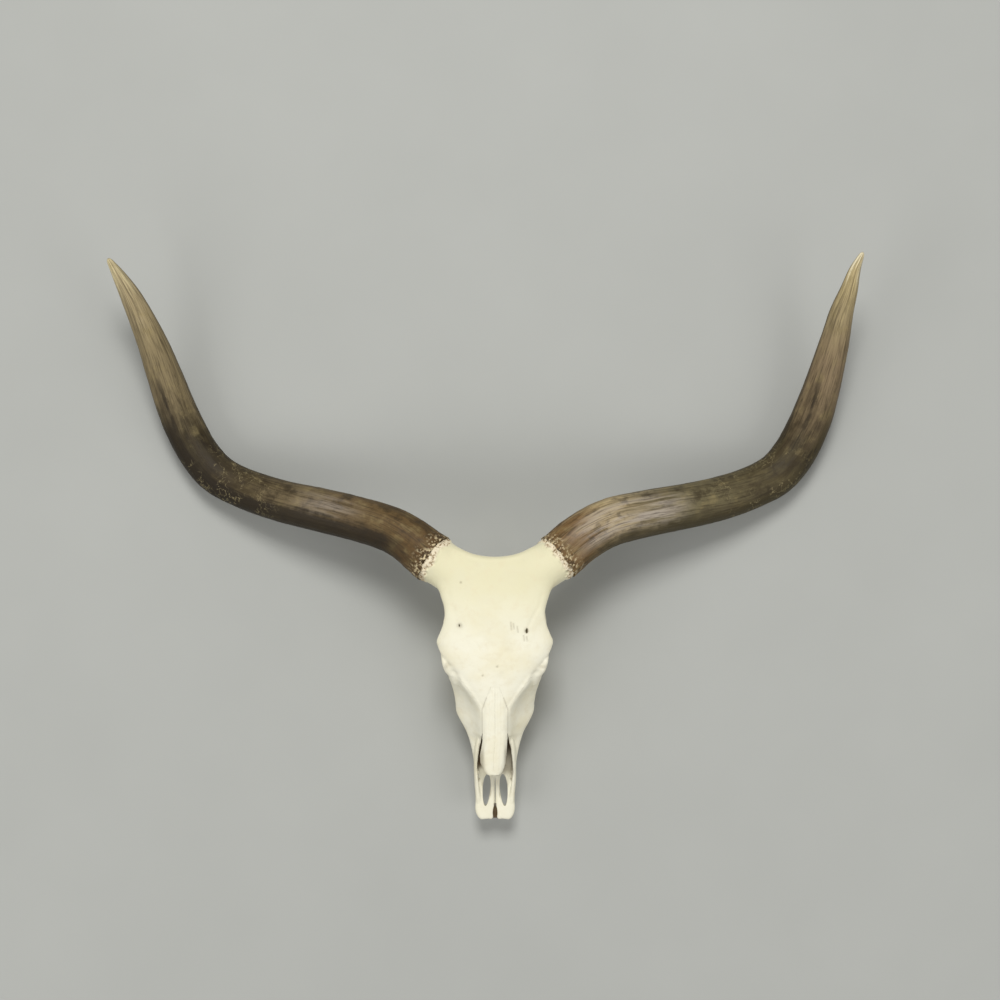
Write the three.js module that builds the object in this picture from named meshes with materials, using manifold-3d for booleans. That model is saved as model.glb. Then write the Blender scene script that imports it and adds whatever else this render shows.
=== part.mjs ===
// Skull of a long-horned African cow, life size, lying face up on its cheek teeth and on the bends of its horns.
// Millimetres, +Z up. The working frame has x = 0 on the skull's midline, y = 0 at the poll and falling towards
// the muzzle, and z = 0 on the floor. The finished group is moved so that its box stands centred on the origin.

import * as THREE from "three";
import { mergeVertices } from "three/addons/utils/BufferGeometryUtils.js";
import Module from "manifold-3d";

const wasm = await Module();
wasm.setup();

// Driving dimensions.
const GAP = 0.3; // between two bones, and between a bone and its horn
const MUZZLE_Y = -472;
const BONE_THICKNESS = 5; // of the nose's roof
const SIDES = [["right", -1], ["left", 1]]; // the animal's own sides, by the sign of x

// Height of the midline of the forehead and nose: [y, z].
const DORSAL_LINE = [
  [-400, 106], [-350, 125], [-300, 143], [-250, 161], [-200, 178], [-150, 193],
  [-100, 204], [-60, 208], [-25, 207], [0, 203], [12, 198],
];

// Forehead seen from above: [y, half width, drop of its edge below the midline].
const FOREHEAD = [
  [-285, 15, 4], [-270, 21, 5], [-256, 29.5, 6], [-229, 46.5, 9], [-198, 70, 13], [-173, 90, 18],
  [-155, 98, 21], [-145, 100, 21], [-130, 93, 18], [-115, 87, 15], [-101, 85.5, 13], [-86, 89, 14],
  [-64, 103, 22], [-48, 112, 30], [-20, 100, 22], [0, 82, 15],
];
const POLL_RISE = 33; // how far the horn pedicles reach behind the middle of the poll
const POLL_REACH = 84; // half distance between the upper corners of the pedicles
const POLL_CURVE = 2.4;

// Braincase: [y, half width, height of its floor].
const BRAINCASE = [
  [-215, 34, 92], [-170, 32, 88], [-135, 40, 80], [-100, 52, 72], [-60, 58, 70], [-34, 60, 74],
];

// Face: [y, dorsal half width, crest half width, crest height, gum half width, gum height, palate height].
const FACE = [
  [-352, 21, 40, 72, 28, 43, 45], [-330, 23, 46, 73, 32, 38, 45], [-311, 24, 52, 75, 37, 32, 44],
  [-293, 24.5, 59, 77, 43, 27, 42], [-275, 25.5, 67.5, 79, 49, 25, 40], [-260, 30, 69, 87, 53, 25, 39],
  [-240, 42, 72.5, 99, 57, 25, 38], [-218, 58, 80, 108, 61, 25, 38], [-194, 66, 90, 110, 63, 25, 38],
  [-165, 58, 84, 104, 61, 27, 40], [-138, 34, 58, 96, 48, 40, 46],
];
const FACE_SINK = 6; // the face's own top lies this far under the nose's roof

// Roof of the nose, two nasal bones side by side: [y, half width].
const NASAL_PAIR = [
  [-385, 12], [-377, 16.5], [-360, 18.6], [-330, 20.6], [-300, 22.4], [-266, 22.4], [-244, 15], [-224, 7],
];
const NASAL_EDGE_DROP = 7;

// Nasal cavity: [y, half width, height of its floor].
const NASAL_CAVITY = [
  [-365, 27, 53], [-340, 30, 53], [-300, 33, 52], [-262, 33, 52], [-240, 28, 54], [-214, 20, 60],
];
const CAVITY_MOUTH = 16; // half width left open under the nasal bones

// Orbit: the middle of its mouth, the mouth's half length and half height, and the rim's own radius.
const ORBIT = { x: 86, y: -179, z: 131, halfLength: 32, halfHeight: 32, rim: 6 };
const ORBIT_DEPTH = 52;

// Horn axes, the skull's left horn being the one on the +x side: [x, y, z, radius].
const HORN_PLUS_X = [
  [110, -1, 158, 42.4], [149, 31, 148, 42.6], [197, 57, 134, 42.2], [264, 73, 112, 41], [335, 86, 88, 39.9],
  [400, 100, 66, 39], [462, 121, 47, 38], [505, 144, 38.4, 38], [536, 180, 37.3, 37.8], [561, 230, 44, 36.6],
  [577, 280, 57, 33.7], [597, 374, 96, 25.9], [605, 424, 118, 20.8], [614, 460, 135, 15.6],
  [622, 496, 152, 9.7], [634, 525, 166, 1.6],
];
const HORN_MINUS_X = [
  [-107, -3, 158, 43.4], [-170, 41, 141, 40], [-237, 63, 120, 38.8], [-309, 80, 97, 38.4], [-382, 96, 72, 37],
  [-457, 121, 48, 36], [-502, 146, 38, 36.3], [-533, 183, 35.5, 36], [-551, 215, 37, 35.6], [-569, 258, 45, 34.4],
  [-587, 315, 62, 31.3], [-607, 380, 88, 26], [-634, 450, 122, 18.6], [-652, 487, 143, 11.3],
  [-668, 515, 160, 1.6],
];

// Cheek teeth from front to back: [y, x of its middle, length, width, how far its crown stays above the floor].
const CHEEK_TEETH = [
  [-281, 39, 16, 15, 3], [-264, 43, 18, 18, 2], [-245.5, 46.5, 18, 20, 1],
  [-223, 49.5, 25, 23, 0], [-196.5, 51, 27, 24, 0], [-168.5, 50, 28, 23, 0],
];
const TOOTH_TOP = 34;
const TOOTH_SPARE = 6; // drawn below each grinding face, and cut away to leave it flat and full size

// Smooth values between the rows of a table whose first column rises.
function sample(rows, t) {
  const last = rows.length - 1;
  let i = 0;
  while (i < last - 1 && t > rows[i + 1][0]) i += 1;
  const [a, b] = [rows[i], rows[i + 1]];
  const step = b[0] - a[0];
  const f = THREE.MathUtils.clamp((t - a[0]) / step, 0, 1);
  const before = rows[Math.max(i - 1, 0)];
  const after = rows[Math.min(i + 2, last)];
  return a.slice(1).map((_, k) => {
    const slopeA = ((b[k + 1] - before[k + 1]) / (b[0] - before[0])) * step;
    const slopeB = ((after[k + 1] - a[k + 1]) / (after[0] - a[0])) * step;
    const f2 = f * f;
    const f3 = f2 * f;
    return (
      a[k + 1] * (2 * f3 - 3 * f2 + 1) + slopeA * (f3 - 2 * f2 + f) +
      b[k + 1] * (3 * f2 - 2 * f3) + slopeB * (f3 - f2)
    );
  });
}

const dorsal = (y) => sample(DORSAL_LINE, y)[0];

// A closed geometry as a solid. A mirrored one is turned the right way round.
function solid(geometry) {
  const bare = geometry.index ? geometry.toNonIndexed() : geometry.clone();
  bare.deleteAttribute("normal");
  bare.deleteAttribute("uv");
  const merged = mergeVertices(bare, 1e-3);
  const make = (triVerts) =>
    new wasm.Manifold(
      new wasm.Mesh({ numProp: 3, vertProperties: merged.attributes.position.array, triVerts }),
    );
  const made = make(new Uint32Array(merged.index.array));
  return made.volume() < 0 ? make(new Uint32Array(merged.index.array).reverse()) : made;
}

// A sphere whose every point is placed by a rule: u runs from pole to pole, angle round the axis.
function shapedSphere(around, rings, place) {
  const geometry = new THREE.SphereGeometry(1, around, rings);
  const position = geometry.attributes.position;
  const v = new THREE.Vector3();
  for (let i = 0; i < position.count; i += 1) {
    v.fromBufferAttribute(position, i);
    const polar = Math.acos(THREE.MathUtils.clamp(v.y, -1, 1));
    const p = place(polar, Math.atan2(v.x, v.z));
    position.setXYZ(i, p.x, p.y, p.z);
  }
  return solid(geometry);
}

// How full a shape is on its way from pole to pole: nothing at either end, and blunter for a smaller power.
const fullness = (polar, blunt) => Math.max(Math.sin(polar) - 1e-9, 0) ** blunt;

// A body along y whose half section, from its top to its bottom, is a smooth line through a few points.
function loft(rows, outline, { around = 28, rings = 26, blunt = 0.4 } = {}) {
  const [from, to] = [rows[0][0], rows[rows.length - 1][0]];
  return shapedSphere(around, rings, (polar, angle) => {
    const y = from + ((to - from) * (1 - Math.cos(polar))) / 2;
    const swell = fullness(polar, blunt);
    const points = outline(y, ...sample(rows, y)).map((p) => new THREE.Vector2(...p));
    const middle = (points[0].y + points[points.length - 1].y) / 2;
    const p = new THREE.SplineCurve(points).getPoint(Math.abs(angle) / Math.PI);
    const onMidline = Math.abs(Math.sin(angle)) < 1e-6;
    const x = onMidline ? 0 : Math.sign(angle) * Math.max(p.x, 0.1) * swell;
    return new THREE.Vector3(x, y, middle + (p.y - middle) * swell);
  });
}

// A rounded bar along a path of [x, y, z, side radius, rise radius]. Its rise leans about the path by lean degrees.
function limb(stations, options = {}) {
  const { side = 1, up = [0, 0, 1], around = 12, rings = 10, blunt = 0.5, square = 2, lean = 0 } = options;
  const path = new THREE.CatmullRomCurve3(stations.map(([x, y, z]) => new THREE.Vector3(side * x, y, z)));
  const radii = stations.map((s, i) => [i / (stations.length - 1), s[3], s[4] ?? s[3]]);
  const upward = new THREE.Vector3(...up).normalize();
  const power = 2 / square;
  return shapedSphere(around, rings, (polar, angle) => {
    const t = (1 - Math.cos(polar)) / 2;
    const swell = fullness(polar, blunt);
    const [across, rise] = sample(radii, t);
    const tangent = path.getTangent(t);
    const sideways = new THREE.Vector3().crossVectors(tangent, upward).normalize();
    const risen = new THREE.Vector3().crossVectors(sideways, tangent);
    const turn = side * THREE.MathUtils.degToRad(lean);
    sideways.applyAxisAngle(tangent, turn);
    risen.applyAxisAngle(tangent, turn);
    const [c, s] = [Math.cos(angle), Math.sin(angle)];
    return path.getPoint(t)
      .addScaledVector(sideways, across * swell * Math.sign(s) * Math.abs(s) ** power)
      .addScaledVector(risen, rise * swell * Math.sign(c) * Math.abs(c) ** power);
  });
}

function egg([x, y, z], [rx, ry, rz], side = 1, [around, rings] = [12, 7]) {
  return solid(new THREE.SphereGeometry(1, around, rings).scale(rx, ry, rz).translate(side * x, y, z));
}

// A straight-walled block: an outline drawn on the plane across an axis and drawn out along that axis.
// For x the outline's points are [y, z], for y they are [z, x] and for z they are [x, y].
function block(axis, points, [from, to]) {
  const shape = new THREE.Shape(points.map((p) => new THREE.Vector2(...p)));
  const geometry = new THREE.ExtrudeGeometry(shape, { depth: to - from, bevelEnabled: false, steps: 1 });
  const axes = [new THREE.Vector3(1, 0, 0), new THREE.Vector3(0, 1, 0), new THREE.Vector3(0, 0, 1)];
  const first = "xyz".indexOf(axis);
  const turned = new THREE.Matrix4().makeBasis(axes[(first + 1) % 3], axes[(first + 2) % 3], axes[first]);
  return solid(geometry.translate(0, 0, from).applyMatrix4(turned));
}

const mirrored = (points) => [...points, ...points.map(([x, y]) => [-x, y]).reverse()];

const union = (solids) => solids.reduce((a, b) => a.add(b));
const bothSides = (make) => union(SIDES.map(([, side]) => make(side)));

function largest(whole) {
  return whole.decompose().reduce((a, b) => (b.volume() > a.volume() ? b : a));
}

// Broad plate of the forehead, with a hollow curve between the horns.
function forehead() {
  const plate = (y, half, drop) => {
    const top = dorsal(y);
    return [
      [0, top], [0.45 * half, top - 0.1 * drop], [0.8 * half, top - 0.42 * drop], [0.97 * half, top - 0.85 * drop],
      [half, top - drop - 4], [0.93 * half, top - drop - 12], [0.7 * half, top - drop - 22],
      [0.35 * half, top - drop - 28], [0, top - drop - 28],
    ];
  };
  const flat = loft(FOREHEAD, plate, { around: 24, rings: 23, blunt: 0.35 });
  return flat.warp((v) => {
    const share = THREE.MathUtils.smoothstep(v[1], -70, -6);
    v[1] += share * POLL_RISE * Math.min(Math.abs(v[0]) / POLL_REACH, 1.1) ** POLL_CURVE;
  });
}

function pedicle(side, horn) {
  const [x, y, z, r] = horn[0];
  const [nx, ny, nz] = horn[1];
  const past = 0.25;
  return limb([
    [36, -42, 174, 34, 26], [64, -30, 170, 40, 31], [Math.abs(x) - 14, y - 9, z + 2, r - 3, r - 4],
    [Math.abs(x), y, z, r - 0.6, r - 0.6],
    [Math.abs(x + (nx - x) * past), y + (ny - y) * past, z + (nz - z) * past, r - 0.6, r - 0.6],
  ], { side, around: 18, rings: 8, blunt: 0.4 });
}

function braincase() {
  return loft(BRAINCASE, (y, half, floor) => [
    [0, dorsal(y) - 14], [0.75 * half, dorsal(y) - 18], [half, 150], [half, 118], [0.85 * half, floor + 14],
    [0.5 * half, floor + 2], [0, floor],
  ], { around: 16, rings: 10 });
}

function occiput() {
  const plate = limb([
    [0, -54, 58, 34, 12], [0, -48, 78, 70, 15], [0, -45, 98, 90, 17], [0, -42, 122, 88, 17],
    [0, -38, 150, 84, 17], [0, -34, 178, 84, 18],
  ], { up: [0, 1, 0], around: 16, rings: 9, blunt: 0.3, square: 3.2 });
  const protuberance = egg([0, -24, 148], [15, 8, 20], 1, [10, 6]);
  const condyles = bothSides((side) => egg([23, -25, 69], [15.5, 18, 23], side));
  const jugular = bothSides((side) => limb([
    [66, -46, 96, 14, 9], [67, -44, 66, 10, 7], [61, -45, 38, 6.5, 5], [56, -50, 20, 3, 3],
  ], { side, up: [0, 1, 0], around: 8, rings: 7 }));
  const base = limb([
    [0, -26, 72, 24, 11], [0, -64, 73, 18, 11], [0, -110, 80, 14, 10], [0, -160, 90, 12, 10],
  ], { around: 10, rings: 6 });
  const bullae = bothSides((side) => egg([37, -68, 57], [9, 20, 17], side, [10, 6]));
  return union([plate, protuberance, condyles, jugular, base, bullae]);
}

function face() {
  return loft(FACE, (y, top, crest, crestZ, gum, gumZ, palate) => {
    const roof = dorsal(y) - FACE_SINK;
    const vault = Math.max(gum - 29, 3);
    return [
      [0, roof], [0.6 * top, roof - 0.5], [top, roof - 3],
      [top + 0.4 * (crest - top), crestZ + 0.52 * (roof - crestZ)], [crest - 1.5, crestZ + 8],
      [crest, crestZ - 2], [crest - 0.25 * (crest - gum), crestZ - 18], [gum + 1.5, gumZ + 8], [gum - 3, gumZ],
      [Math.max(gum - 22, vault), gumZ + 1], [vault, palate], [0.5 * vault, palate], [0, palate],
    ];
  }, { around: 28, rings: 18, blunt: 0.35 });
}

// Thin walls on either side of the rear end of the nasal passage.
function palatineWalls() {
  return bothSides((side) => limb([
    [22, -122, 72, 3, 12], [24, -145, 64, 3.2, 24], [26, -172, 58, 4, 26], [27, -196, 56, 5, 22],
  ], { side, around: 10, rings: 8, square: 3 }));
}

function nasalCavity() {
  const passage = loft(NASAL_CAVITY, (y, half, floor) => {
    const under = dorsal(y) - BONE_THICKNESS;
    return [
      [0, under], [0.6 * CAVITY_MOUTH, under - 1], [CAVITY_MOUTH, under - 6],
      [half - 6, floor + 0.6 * (dorsal(y) - floor)], [half, floor + 24], [half - 2, floor + 7],
      [0.6 * half, floor], [0, floor],
    ];
  }, { around: 16, rings: 10, blunt: 0.3 });
  const choana = limb([
    [0, -128, 52, 19, 16], [0, -165, 52, 21, 18], [0, -200, 58, 20, 16], [0, -226, 68, 16, 12],
  ], { around: 12, rings: 8 });
  return passage.add(choana);
}

function orbitHollow(side) {
  const { x, y, z, halfLength, halfHeight, rim } = ORBIT;
  return limb([
    [x + 30, y - 6, z + 6, halfLength + 4, halfHeight + 2], [x, y, z, halfLength - rim / 2, halfHeight - rim / 2],
    [x - 0.5 * ORBIT_DEPTH, y + 6, z - 2, halfLength - 8, halfHeight - 8],
    [x - ORBIT_DEPTH, y + 16, z - 6, 12, 12],
  ], { side, around: 16, rings: 9 });
}

// Wall of the orbit where it grows out of the face in front and below.
function orbitWall(side) {
  return union([
    egg([66, -200, 126], [17, 27, 35], side),
    limb([[58, -180, 160, 18, 12], [76, -188, 157, 12, 10], [84, -206, 140, 6, 9]], { side, around: 10, rings: 8 }),
  ]);
}

// Bar that closes the orbit behind, from the widest point of the forehead down to the arch.
function postorbitalBar(side) {
  return limb([
    [90, -144, 176, 5, 12], [92, -145, 158, 4.5, 10], [89.5, -147, 138, 4, 7], [87, -150, 120, 4, 7],
    [85.5, -156, 102, 4.5, 10],
  ], { side, up: [0, 1, 0], around: 8, rings: 8 });
}

function orbitRim(side) {
  const { x, y, z, halfLength, halfHeight, rim } = ORBIT;
  const ring = new THREE.TorusGeometry(1, rim / halfLength, 6, 20)
    .applyMatrix4(new THREE.Matrix4().makeScale(halfLength, halfHeight, halfLength))
    .rotateY(Math.PI / 2).rotateX(-Math.PI / 2).rotateZ(side * THREE.MathUtils.degToRad(-7))
    .translate(side * x, y, z);
  return solid(ring);
}

// From the jaw's socket on the braincase forward to the cheek, under the orbit.
function zygomaticArch(side) {
  const socket = limb([[44, -80, 92, 14, 8], [66, -84, 93, 16, 7], [82, -86, 96, 15, 6]], { side, around: 10, rings: 7 });
  const arch = limb([
    [83, -72, 97, 4, 6], [85, -100, 99, 4.5, 8], [86.5, -130, 102, 4.5, 9], [86.5, -158, 103, 5, 11],
    [84, -188, 102, 6, 13], [76, -216, 98, 7, 13],
  ], { side, around: 8, rings: 10 });
  return socket.add(arch);
}

// A tooth: a block with rounded corners and two folds down each side.
function cheekTooth([y, x, length, width, lift], side) {
  const folds = length > width ? 2 : 1;
  const from = lift - TOOTH_SPARE;
  return shapedSphere(12, 4, (polar, angle) => {
    const t = (1 - Math.cos(polar)) / 2;
    const [c, s] = [Math.cos(angle), Math.sin(angle)];
    const square = (Math.abs(c) ** 4 + Math.abs(s) ** 4) ** -0.25;
    const fold = 1 - 0.07 * (0.5 + 0.5 * Math.cos(2 * folds * Math.PI * c)) * Math.abs(s);
    const r = square * fold * fullness(polar, 0.12);
    return new THREE.Vector3(
      side * (x + (width / 2) * s * r), y + (length / 2) * c * r, from + (TOOTH_TOP - from) * t,
    );
  }).trimByPlane([0, 0, 1], lift);
}

// Front of the palate and the premaxillary bones, with the slots that the muzzle shows.
function muzzle() {
  const floor = loft([
    [-398, 29, 46, 53], [-380, 30, 45, 53], [-340, 30, 44, 53], [-290, 34, 42, 54],
  ], (y, half, low, high) => [
    [0, high], [0.6 * half, high], [half, (low + high) / 2], [0.6 * half, low], [0, low],
  ], { around: 14, rings: 8, blunt: 0.25 });
  const bars = bothSides((side) => union([
    limb([
      [29, -312, 99, 3, 8], [34.5, -330, 93, 3.4, 16], [36, -350, 84, 3.2, 17], [35.5, -373, 74, 3, 12.5],
      [34.5, -400, 64, 3.4, 9], [33, -425, 58, 5, 7], [28, -446, 55, 7, 6],
    ], { side, around: 10, rings: 13, lean: -22, square: 2.6 }),
    limb([
      [29, -386, 52, 7, 4], [29, -415, 53, 8, 4.6], [22.5, -444, 54, 13.6, 6.2], [19.5, -460, 54.5, 15.5, 6.6],
      [19.5, MUZZLE_Y, 56, 13.5, 6],
    ], { side, around: 12, rings: 10, square: 2.5 }),
    limb([
      [4.7, -340, 49, 3.6, 4], [4.7, -392, 51, 3.7, 4.2], [5, -436, 53, 4, 4.8], [9, -462, 54.5, 5.5, 5.6],
    ], { side, around: 8, rings: 9 }),
  ]));
  return floor.add(bars);
}

// The palatine slots, cut right through.
function palatineSlots() {
  return bothSides((side) => {
    const upright = new THREE.CylinderGeometry(1, 1, 60, 20).rotateX(Math.PI / 2);
    return solid(upright.scale(6.2, 28, 1).translate(side * 15, -419, 52));
  });
}

// The two nasal bones as one arched plate.
function nasalPlate() {
  return loft(NASAL_PAIR, (y, half) => {
    const top = dorsal(y);
    const under = top - BONE_THICKNESS;
    return [
      [0, top], [0.55 * half, top - 1.6], [0.9 * half, top - NASAL_EDGE_DROP + 2.2],
      [half, top - NASAL_EDGE_DROP], [half - 1, under - NASAL_EDGE_DROP + 3], [0.55 * half, under - 1.4],
      [0, under],
    ];
  }, { around: 16, rings: 14, blunt: 0.3 });
}

function vomer() {
  const rows = [[-378, 2, 60], [-330, 2.2, 70], [-290, 2.4, 80], [-252, 2.6, 86]];
  const foot = (y) => sample(NASAL_CAVITY, y)[1] - 3;
  return loft(rows, (y, half, top) => [
    [0, top], [half, top - 2], [half, foot(y) + 10], [half + 2.5, foot(y) + 6], [half + 2, foot(y)], [0, foot(y)],
  ], { around: 12, rings: 10, blunt: 0.2 });
}

// A half space beyond the plane where a horn starts, and the horn itself cut by it.
function hornPlane(stations) {
  const [a, b] = stations.slice(0, 2).map(([x, y, z]) => new THREE.Vector3(x, y, z));
  const normal = b.clone().sub(a).normalize();
  return { normal: normal.toArray(), offset: normal.dot(a) };
}

function horn(stations) {
  const { normal, offset } = hornPlane(stations);
  const [first, second] = stations;
  const back = first.map((value, i) => (i < 3 ? 1.6 * value - 0.6 * second[i] : value));
  return limb([back, ...stations], { around: 18, rings: 33, blunt: 0.3 }).trimByPlane(normal, offset);
}

function skull() {
  const hollows = union([nasalCavity(), bothSides(orbitHollow)]);
  const braincaseMouth = limb([
    [0, 0, 82, 18, 15], [0, -44, 84, 19, 16], [0, -70, 100, 26, 22], [0, -104, 112, 22, 20],
  ], { around: 14, rings: 8 });
  const head = union([
    forehead(), pedicle(-1, HORN_MINUS_X), pedicle(1, HORN_PLUS_X), braincase(), occiput(), face(), nasalPlate(),
    bothSides(orbitWall),
  ]);
  const opened = head.subtract(hollows).subtract(braincaseMouth);
  const details = union([
    bothSides(orbitRim), bothSides(postorbitalBar), bothSides(zygomaticArch), palatineWalls(), muzzle(), vomer(),
    bothSides((side) => union(CHEEK_TEETH.map((tooth) => cheekTooth(tooth, side)))),
  ]);
  return opened.add(details).subtract(palatineSlots());
}

// Where the bones meet: each rule gives the region of one bone, grown by a distance.
const WIDE = [-300, 300];
const TALL = [-50, 400];
const underDorsal = (stations, depth) => [
  ...stations.map((y) => [y, dorsal(y) - depth]), [stations[stations.length - 1], 400], [stations[0], 400],
];
const regions = {
  nasals: (g) => {
    const outline = NASAL_PAIR.map(([y, half]) => [half + g, y]);
    outline[0] = [24, -500];
    outline[outline.length - 1][1] += g;
    return block("x", underDorsal([-500, -340, -280, -200], 13 + g), WIDE).intersect(block("z", mirrored(outline), TALL));
  },
  vomer: (g) => block("x", [
    [-395, 54.5 - g], [-300, 54.5 - g], [-248 + g, 56 - g], [-248 + g, 92], [-330, 85], [-395, 72],
  ], [-7 - g, 7 + g]),
  premaxillae: (g) => block("x", [
    [-600, 0], [-388 + g, 0], [-388 + g, 48], [-316 + g, 112], [-316 + g, 400], [-600, 400],
  ], WIDE),
  arch: (side) => (g) => block("x", [
    [-214 - g, 82 - g], [-232 - g, 104], [-220 - g, 128], [-206 - g, 137 + g], [-60, 137 + g], [-60, 82 - g],
  ], [68 - g, 140].map((x) => side * x).sort((a, b) => a - b)),
  forehead: (g) => block("x", underDorsal([-300, -250, -100], 24 + g), WIDE).intersect(block("z", mirrored([
    [10, -290], [23 + g, -264], [30 + g, -251], [46.5 + g, -229], [61 + g, -209], [61 + g, -100],
  ]), TALL)),
  face: (g) => block("x", [
    [-600, -50], [-126 + g, -50], [-126 + g, 94 + g], [-208 + g, 98 + g], [-209 + g, 400], [-600, 400],
  ], WIDE).subtract(regions.forehead(-g)),
  occipital: (g) => block("y", mirrored([[158 + g, 60], [132, 82 + g], [112, 104 + g], [-20, 104 + g]].map(
    ([z, x]) => [x, z],
  )).map(([x, z]) => [z, x]), [-58 - g, 100]),
  half: (side) => (g) => block("z", [[side * g, -700], [side * 300, -700], [side * 300, 300], [side * g, 300]], TALL),
};

const BONE = new THREE.MeshStandardMaterial({ color: 0xe6dcc0, roughness: 0.62, metalness: 0 });
const TIP_BONE = new THREE.MeshStandardMaterial({ color: 0xe9e1c8, roughness: 0.6, metalness: 0 });
const HORN = new THREE.MeshStandardMaterial({ color: 0x5b4a30, roughness: 0.48, metalness: 0 });

function node(name, shape, material) {
  const { vertProperties, triVerts } = largest(shape).getMesh();
  const geometry = new THREE.BufferGeometry()
    .setAttribute("position", new THREE.BufferAttribute(vertProperties, 3))
    .setIndex(new THREE.BufferAttribute(triVerts, 1));
  geometry.computeVertexNormals();
  const mesh = new THREE.Mesh(geometry, material);
  mesh.name = name;
  return mesh;
}

function build() {
  const parts = new Map();
  let rest = skull().trimByPlane([0, 0, 1], 0);
  for (const stations of [HORN_MINUS_X, HORN_PLUS_X]) {
    const { normal, offset } = hornPlane(stations);
    rest = rest.trimByPlane(normal.map((n) => -n), GAP - offset);
  }
  const cut = (region, keep = (shape) => shape) => {
    const piece = keep(rest.intersect(region(-GAP / 2)));
    rest = rest.subtract(region(GAP / 2));
    return piece;
  };
  const addPair = (name, whole, material) => {
    for (const [word, side] of SIDES) {
      parts.set(`${name}_${word}`, [whole.intersect(regions.half(side)(GAP / 2)), material]);
    }
  };

  addPair("nasal", cut(regions.nasals), BONE);
  parts.set("vomer", [cut(regions.vomer), TIP_BONE]);
  addPair("premaxilla", cut(regions.premaxillae), TIP_BONE);
  for (const [word, side] of SIDES) parts.set(`zygomatic_${word}`, [cut(regions.arch(side)), BONE]);
  addPair("maxilla", cut(regions.face), BONE);
  parts.set("occipital", [cut(regions.occipital), BONE]);
  parts.set("cranium", [rest, BONE]);
  parts.set("horn_right", [horn(HORN_MINUS_X).trimByPlane([0, 0, 1], 0), HORN]);
  parts.set("horn_left", [horn(HORN_PLUS_X).trimByPlane([0, 0, 1], 0), HORN]);

  const group = new THREE.Group();
  for (const [name, [shape, material]] of parts) group.add(node(name, shape, material));
  const box = new THREE.Box3().setFromObject(group);
  group.position.set(-(box.min.x + box.max.x) / 2, -(box.min.y + box.max.y) / 2, -box.min.z);
  return group;
}

export default build();
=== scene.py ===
"""Dressed model of a long-horned cow's skull, life size, for Blender 4.5.

The bones are modelled whole, in millimetres, with x = 0 on the skull's midline, y = 0 at the poll and
z = 0 on the floor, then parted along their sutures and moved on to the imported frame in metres.
"""

import itertools
import math

import bmesh
import bpy
import numpy as np
from mathutils import Matrix, Vector


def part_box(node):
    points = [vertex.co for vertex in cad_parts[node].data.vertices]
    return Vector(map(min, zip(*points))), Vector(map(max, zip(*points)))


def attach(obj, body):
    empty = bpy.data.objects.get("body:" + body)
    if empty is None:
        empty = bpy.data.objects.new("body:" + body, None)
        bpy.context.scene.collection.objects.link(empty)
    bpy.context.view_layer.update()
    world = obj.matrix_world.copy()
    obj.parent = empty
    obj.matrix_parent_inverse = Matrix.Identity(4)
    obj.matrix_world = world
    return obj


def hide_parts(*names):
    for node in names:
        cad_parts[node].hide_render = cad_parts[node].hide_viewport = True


bl_info = {
    "name": "Long-horned cattle skull",
    "version": (1, 0, 0),
    "blender": (4, 5, 0),
    "location": "3D View > Sidebar > Skull",
    "description": "Models the bones, teeth and horns of a long-horned cow's skull",
    "category": "Object",
}

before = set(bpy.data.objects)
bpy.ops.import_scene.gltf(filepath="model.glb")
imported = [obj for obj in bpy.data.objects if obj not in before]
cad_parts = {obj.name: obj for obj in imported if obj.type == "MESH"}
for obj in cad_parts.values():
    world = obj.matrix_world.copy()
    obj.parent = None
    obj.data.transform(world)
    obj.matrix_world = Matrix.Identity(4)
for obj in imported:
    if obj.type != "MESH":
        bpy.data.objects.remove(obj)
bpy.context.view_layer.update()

MM = 0.001
MUZZLE_Y = -472.0
SOLIDS_GAP = 0.3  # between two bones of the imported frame
# Where the working frame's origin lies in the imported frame, in metres.
ORIGIN = Vector((
    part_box("nasal_left")[0].x - SOLIDS_GAP / 2 * MM,
    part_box("premaxilla_left")[0].y - MUZZLE_Y * MM,
    0.0,
))
# Places clear of the skull on every side, for the walls that cut it.
ASIDE, AHEAD, UNDER, OVER = 300, -600, -50, 400
SIDES = (("right", -1), ("left", 1))

# Height of the midline of the forehead and nose: (y, z).
DORSAL_LINE = (
    (-400, 106), (-350, 125), (-300, 143), (-250, 161), (-200, 178), (-150, 193),
    (-100, 204), (-60, 208), (-25, 207), (0, 203), (12, 198),
)
# Forehead seen from above: (y, half width, drop of its edge below the midline).
FOREHEAD = (
    (-285, 15, 4), (-270, 21, 5), (-256, 29.5, 6), (-229, 46.5, 9), (-198, 70, 13), (-173, 90, 18),
    (-155, 98, 21), (-145, 100, 21), (-130, 94, 18), (-115, 89, 15), (-101, 88, 13), (-86, 91, 14),
    (-64, 102, 22), (-48, 112, 30), (-20, 100, 22), (0, 82, 15),
)
# Braincase: (y, half width, height of its floor).
BRAINCASE = (
    (-215, 34, 92), (-170, 32, 88), (-135, 40, 80), (-100, 52, 72), (-60, 58, 70), (-34, 60, 74),
)
# Face: (y, dorsal half width, crest half width, crest height, gum half width, gum height, palate height).
FACE = (
    (-400, 31, 38, 57, 29, 46, 46), (-372, 33, 40, 63, 30, 45, 46), (-352, 30.5, 41.5, 69, 30, 42, 45),
    (-330, 26.5, 45.5, 73, 31.5, 38, 45), (-311, 23.5, 51.5, 75, 36, 32, 44),
    (-293, 24, 60.5, 77, 42, 27, 42), (-275, 25.5, 67, 79, 49, 25, 40), (-260, 30, 69, 87, 53, 25, 39),
    (-240, 42, 72.5, 99, 57, 25, 38), (-218, 58, 80, 108, 61, 25, 38), (-194, 65, 88, 110, 62, 25, 38),
    (-165, 55, 78, 104, 57, 27, 40), (-138, 32, 52, 96, 44, 40, 46),
)
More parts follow.
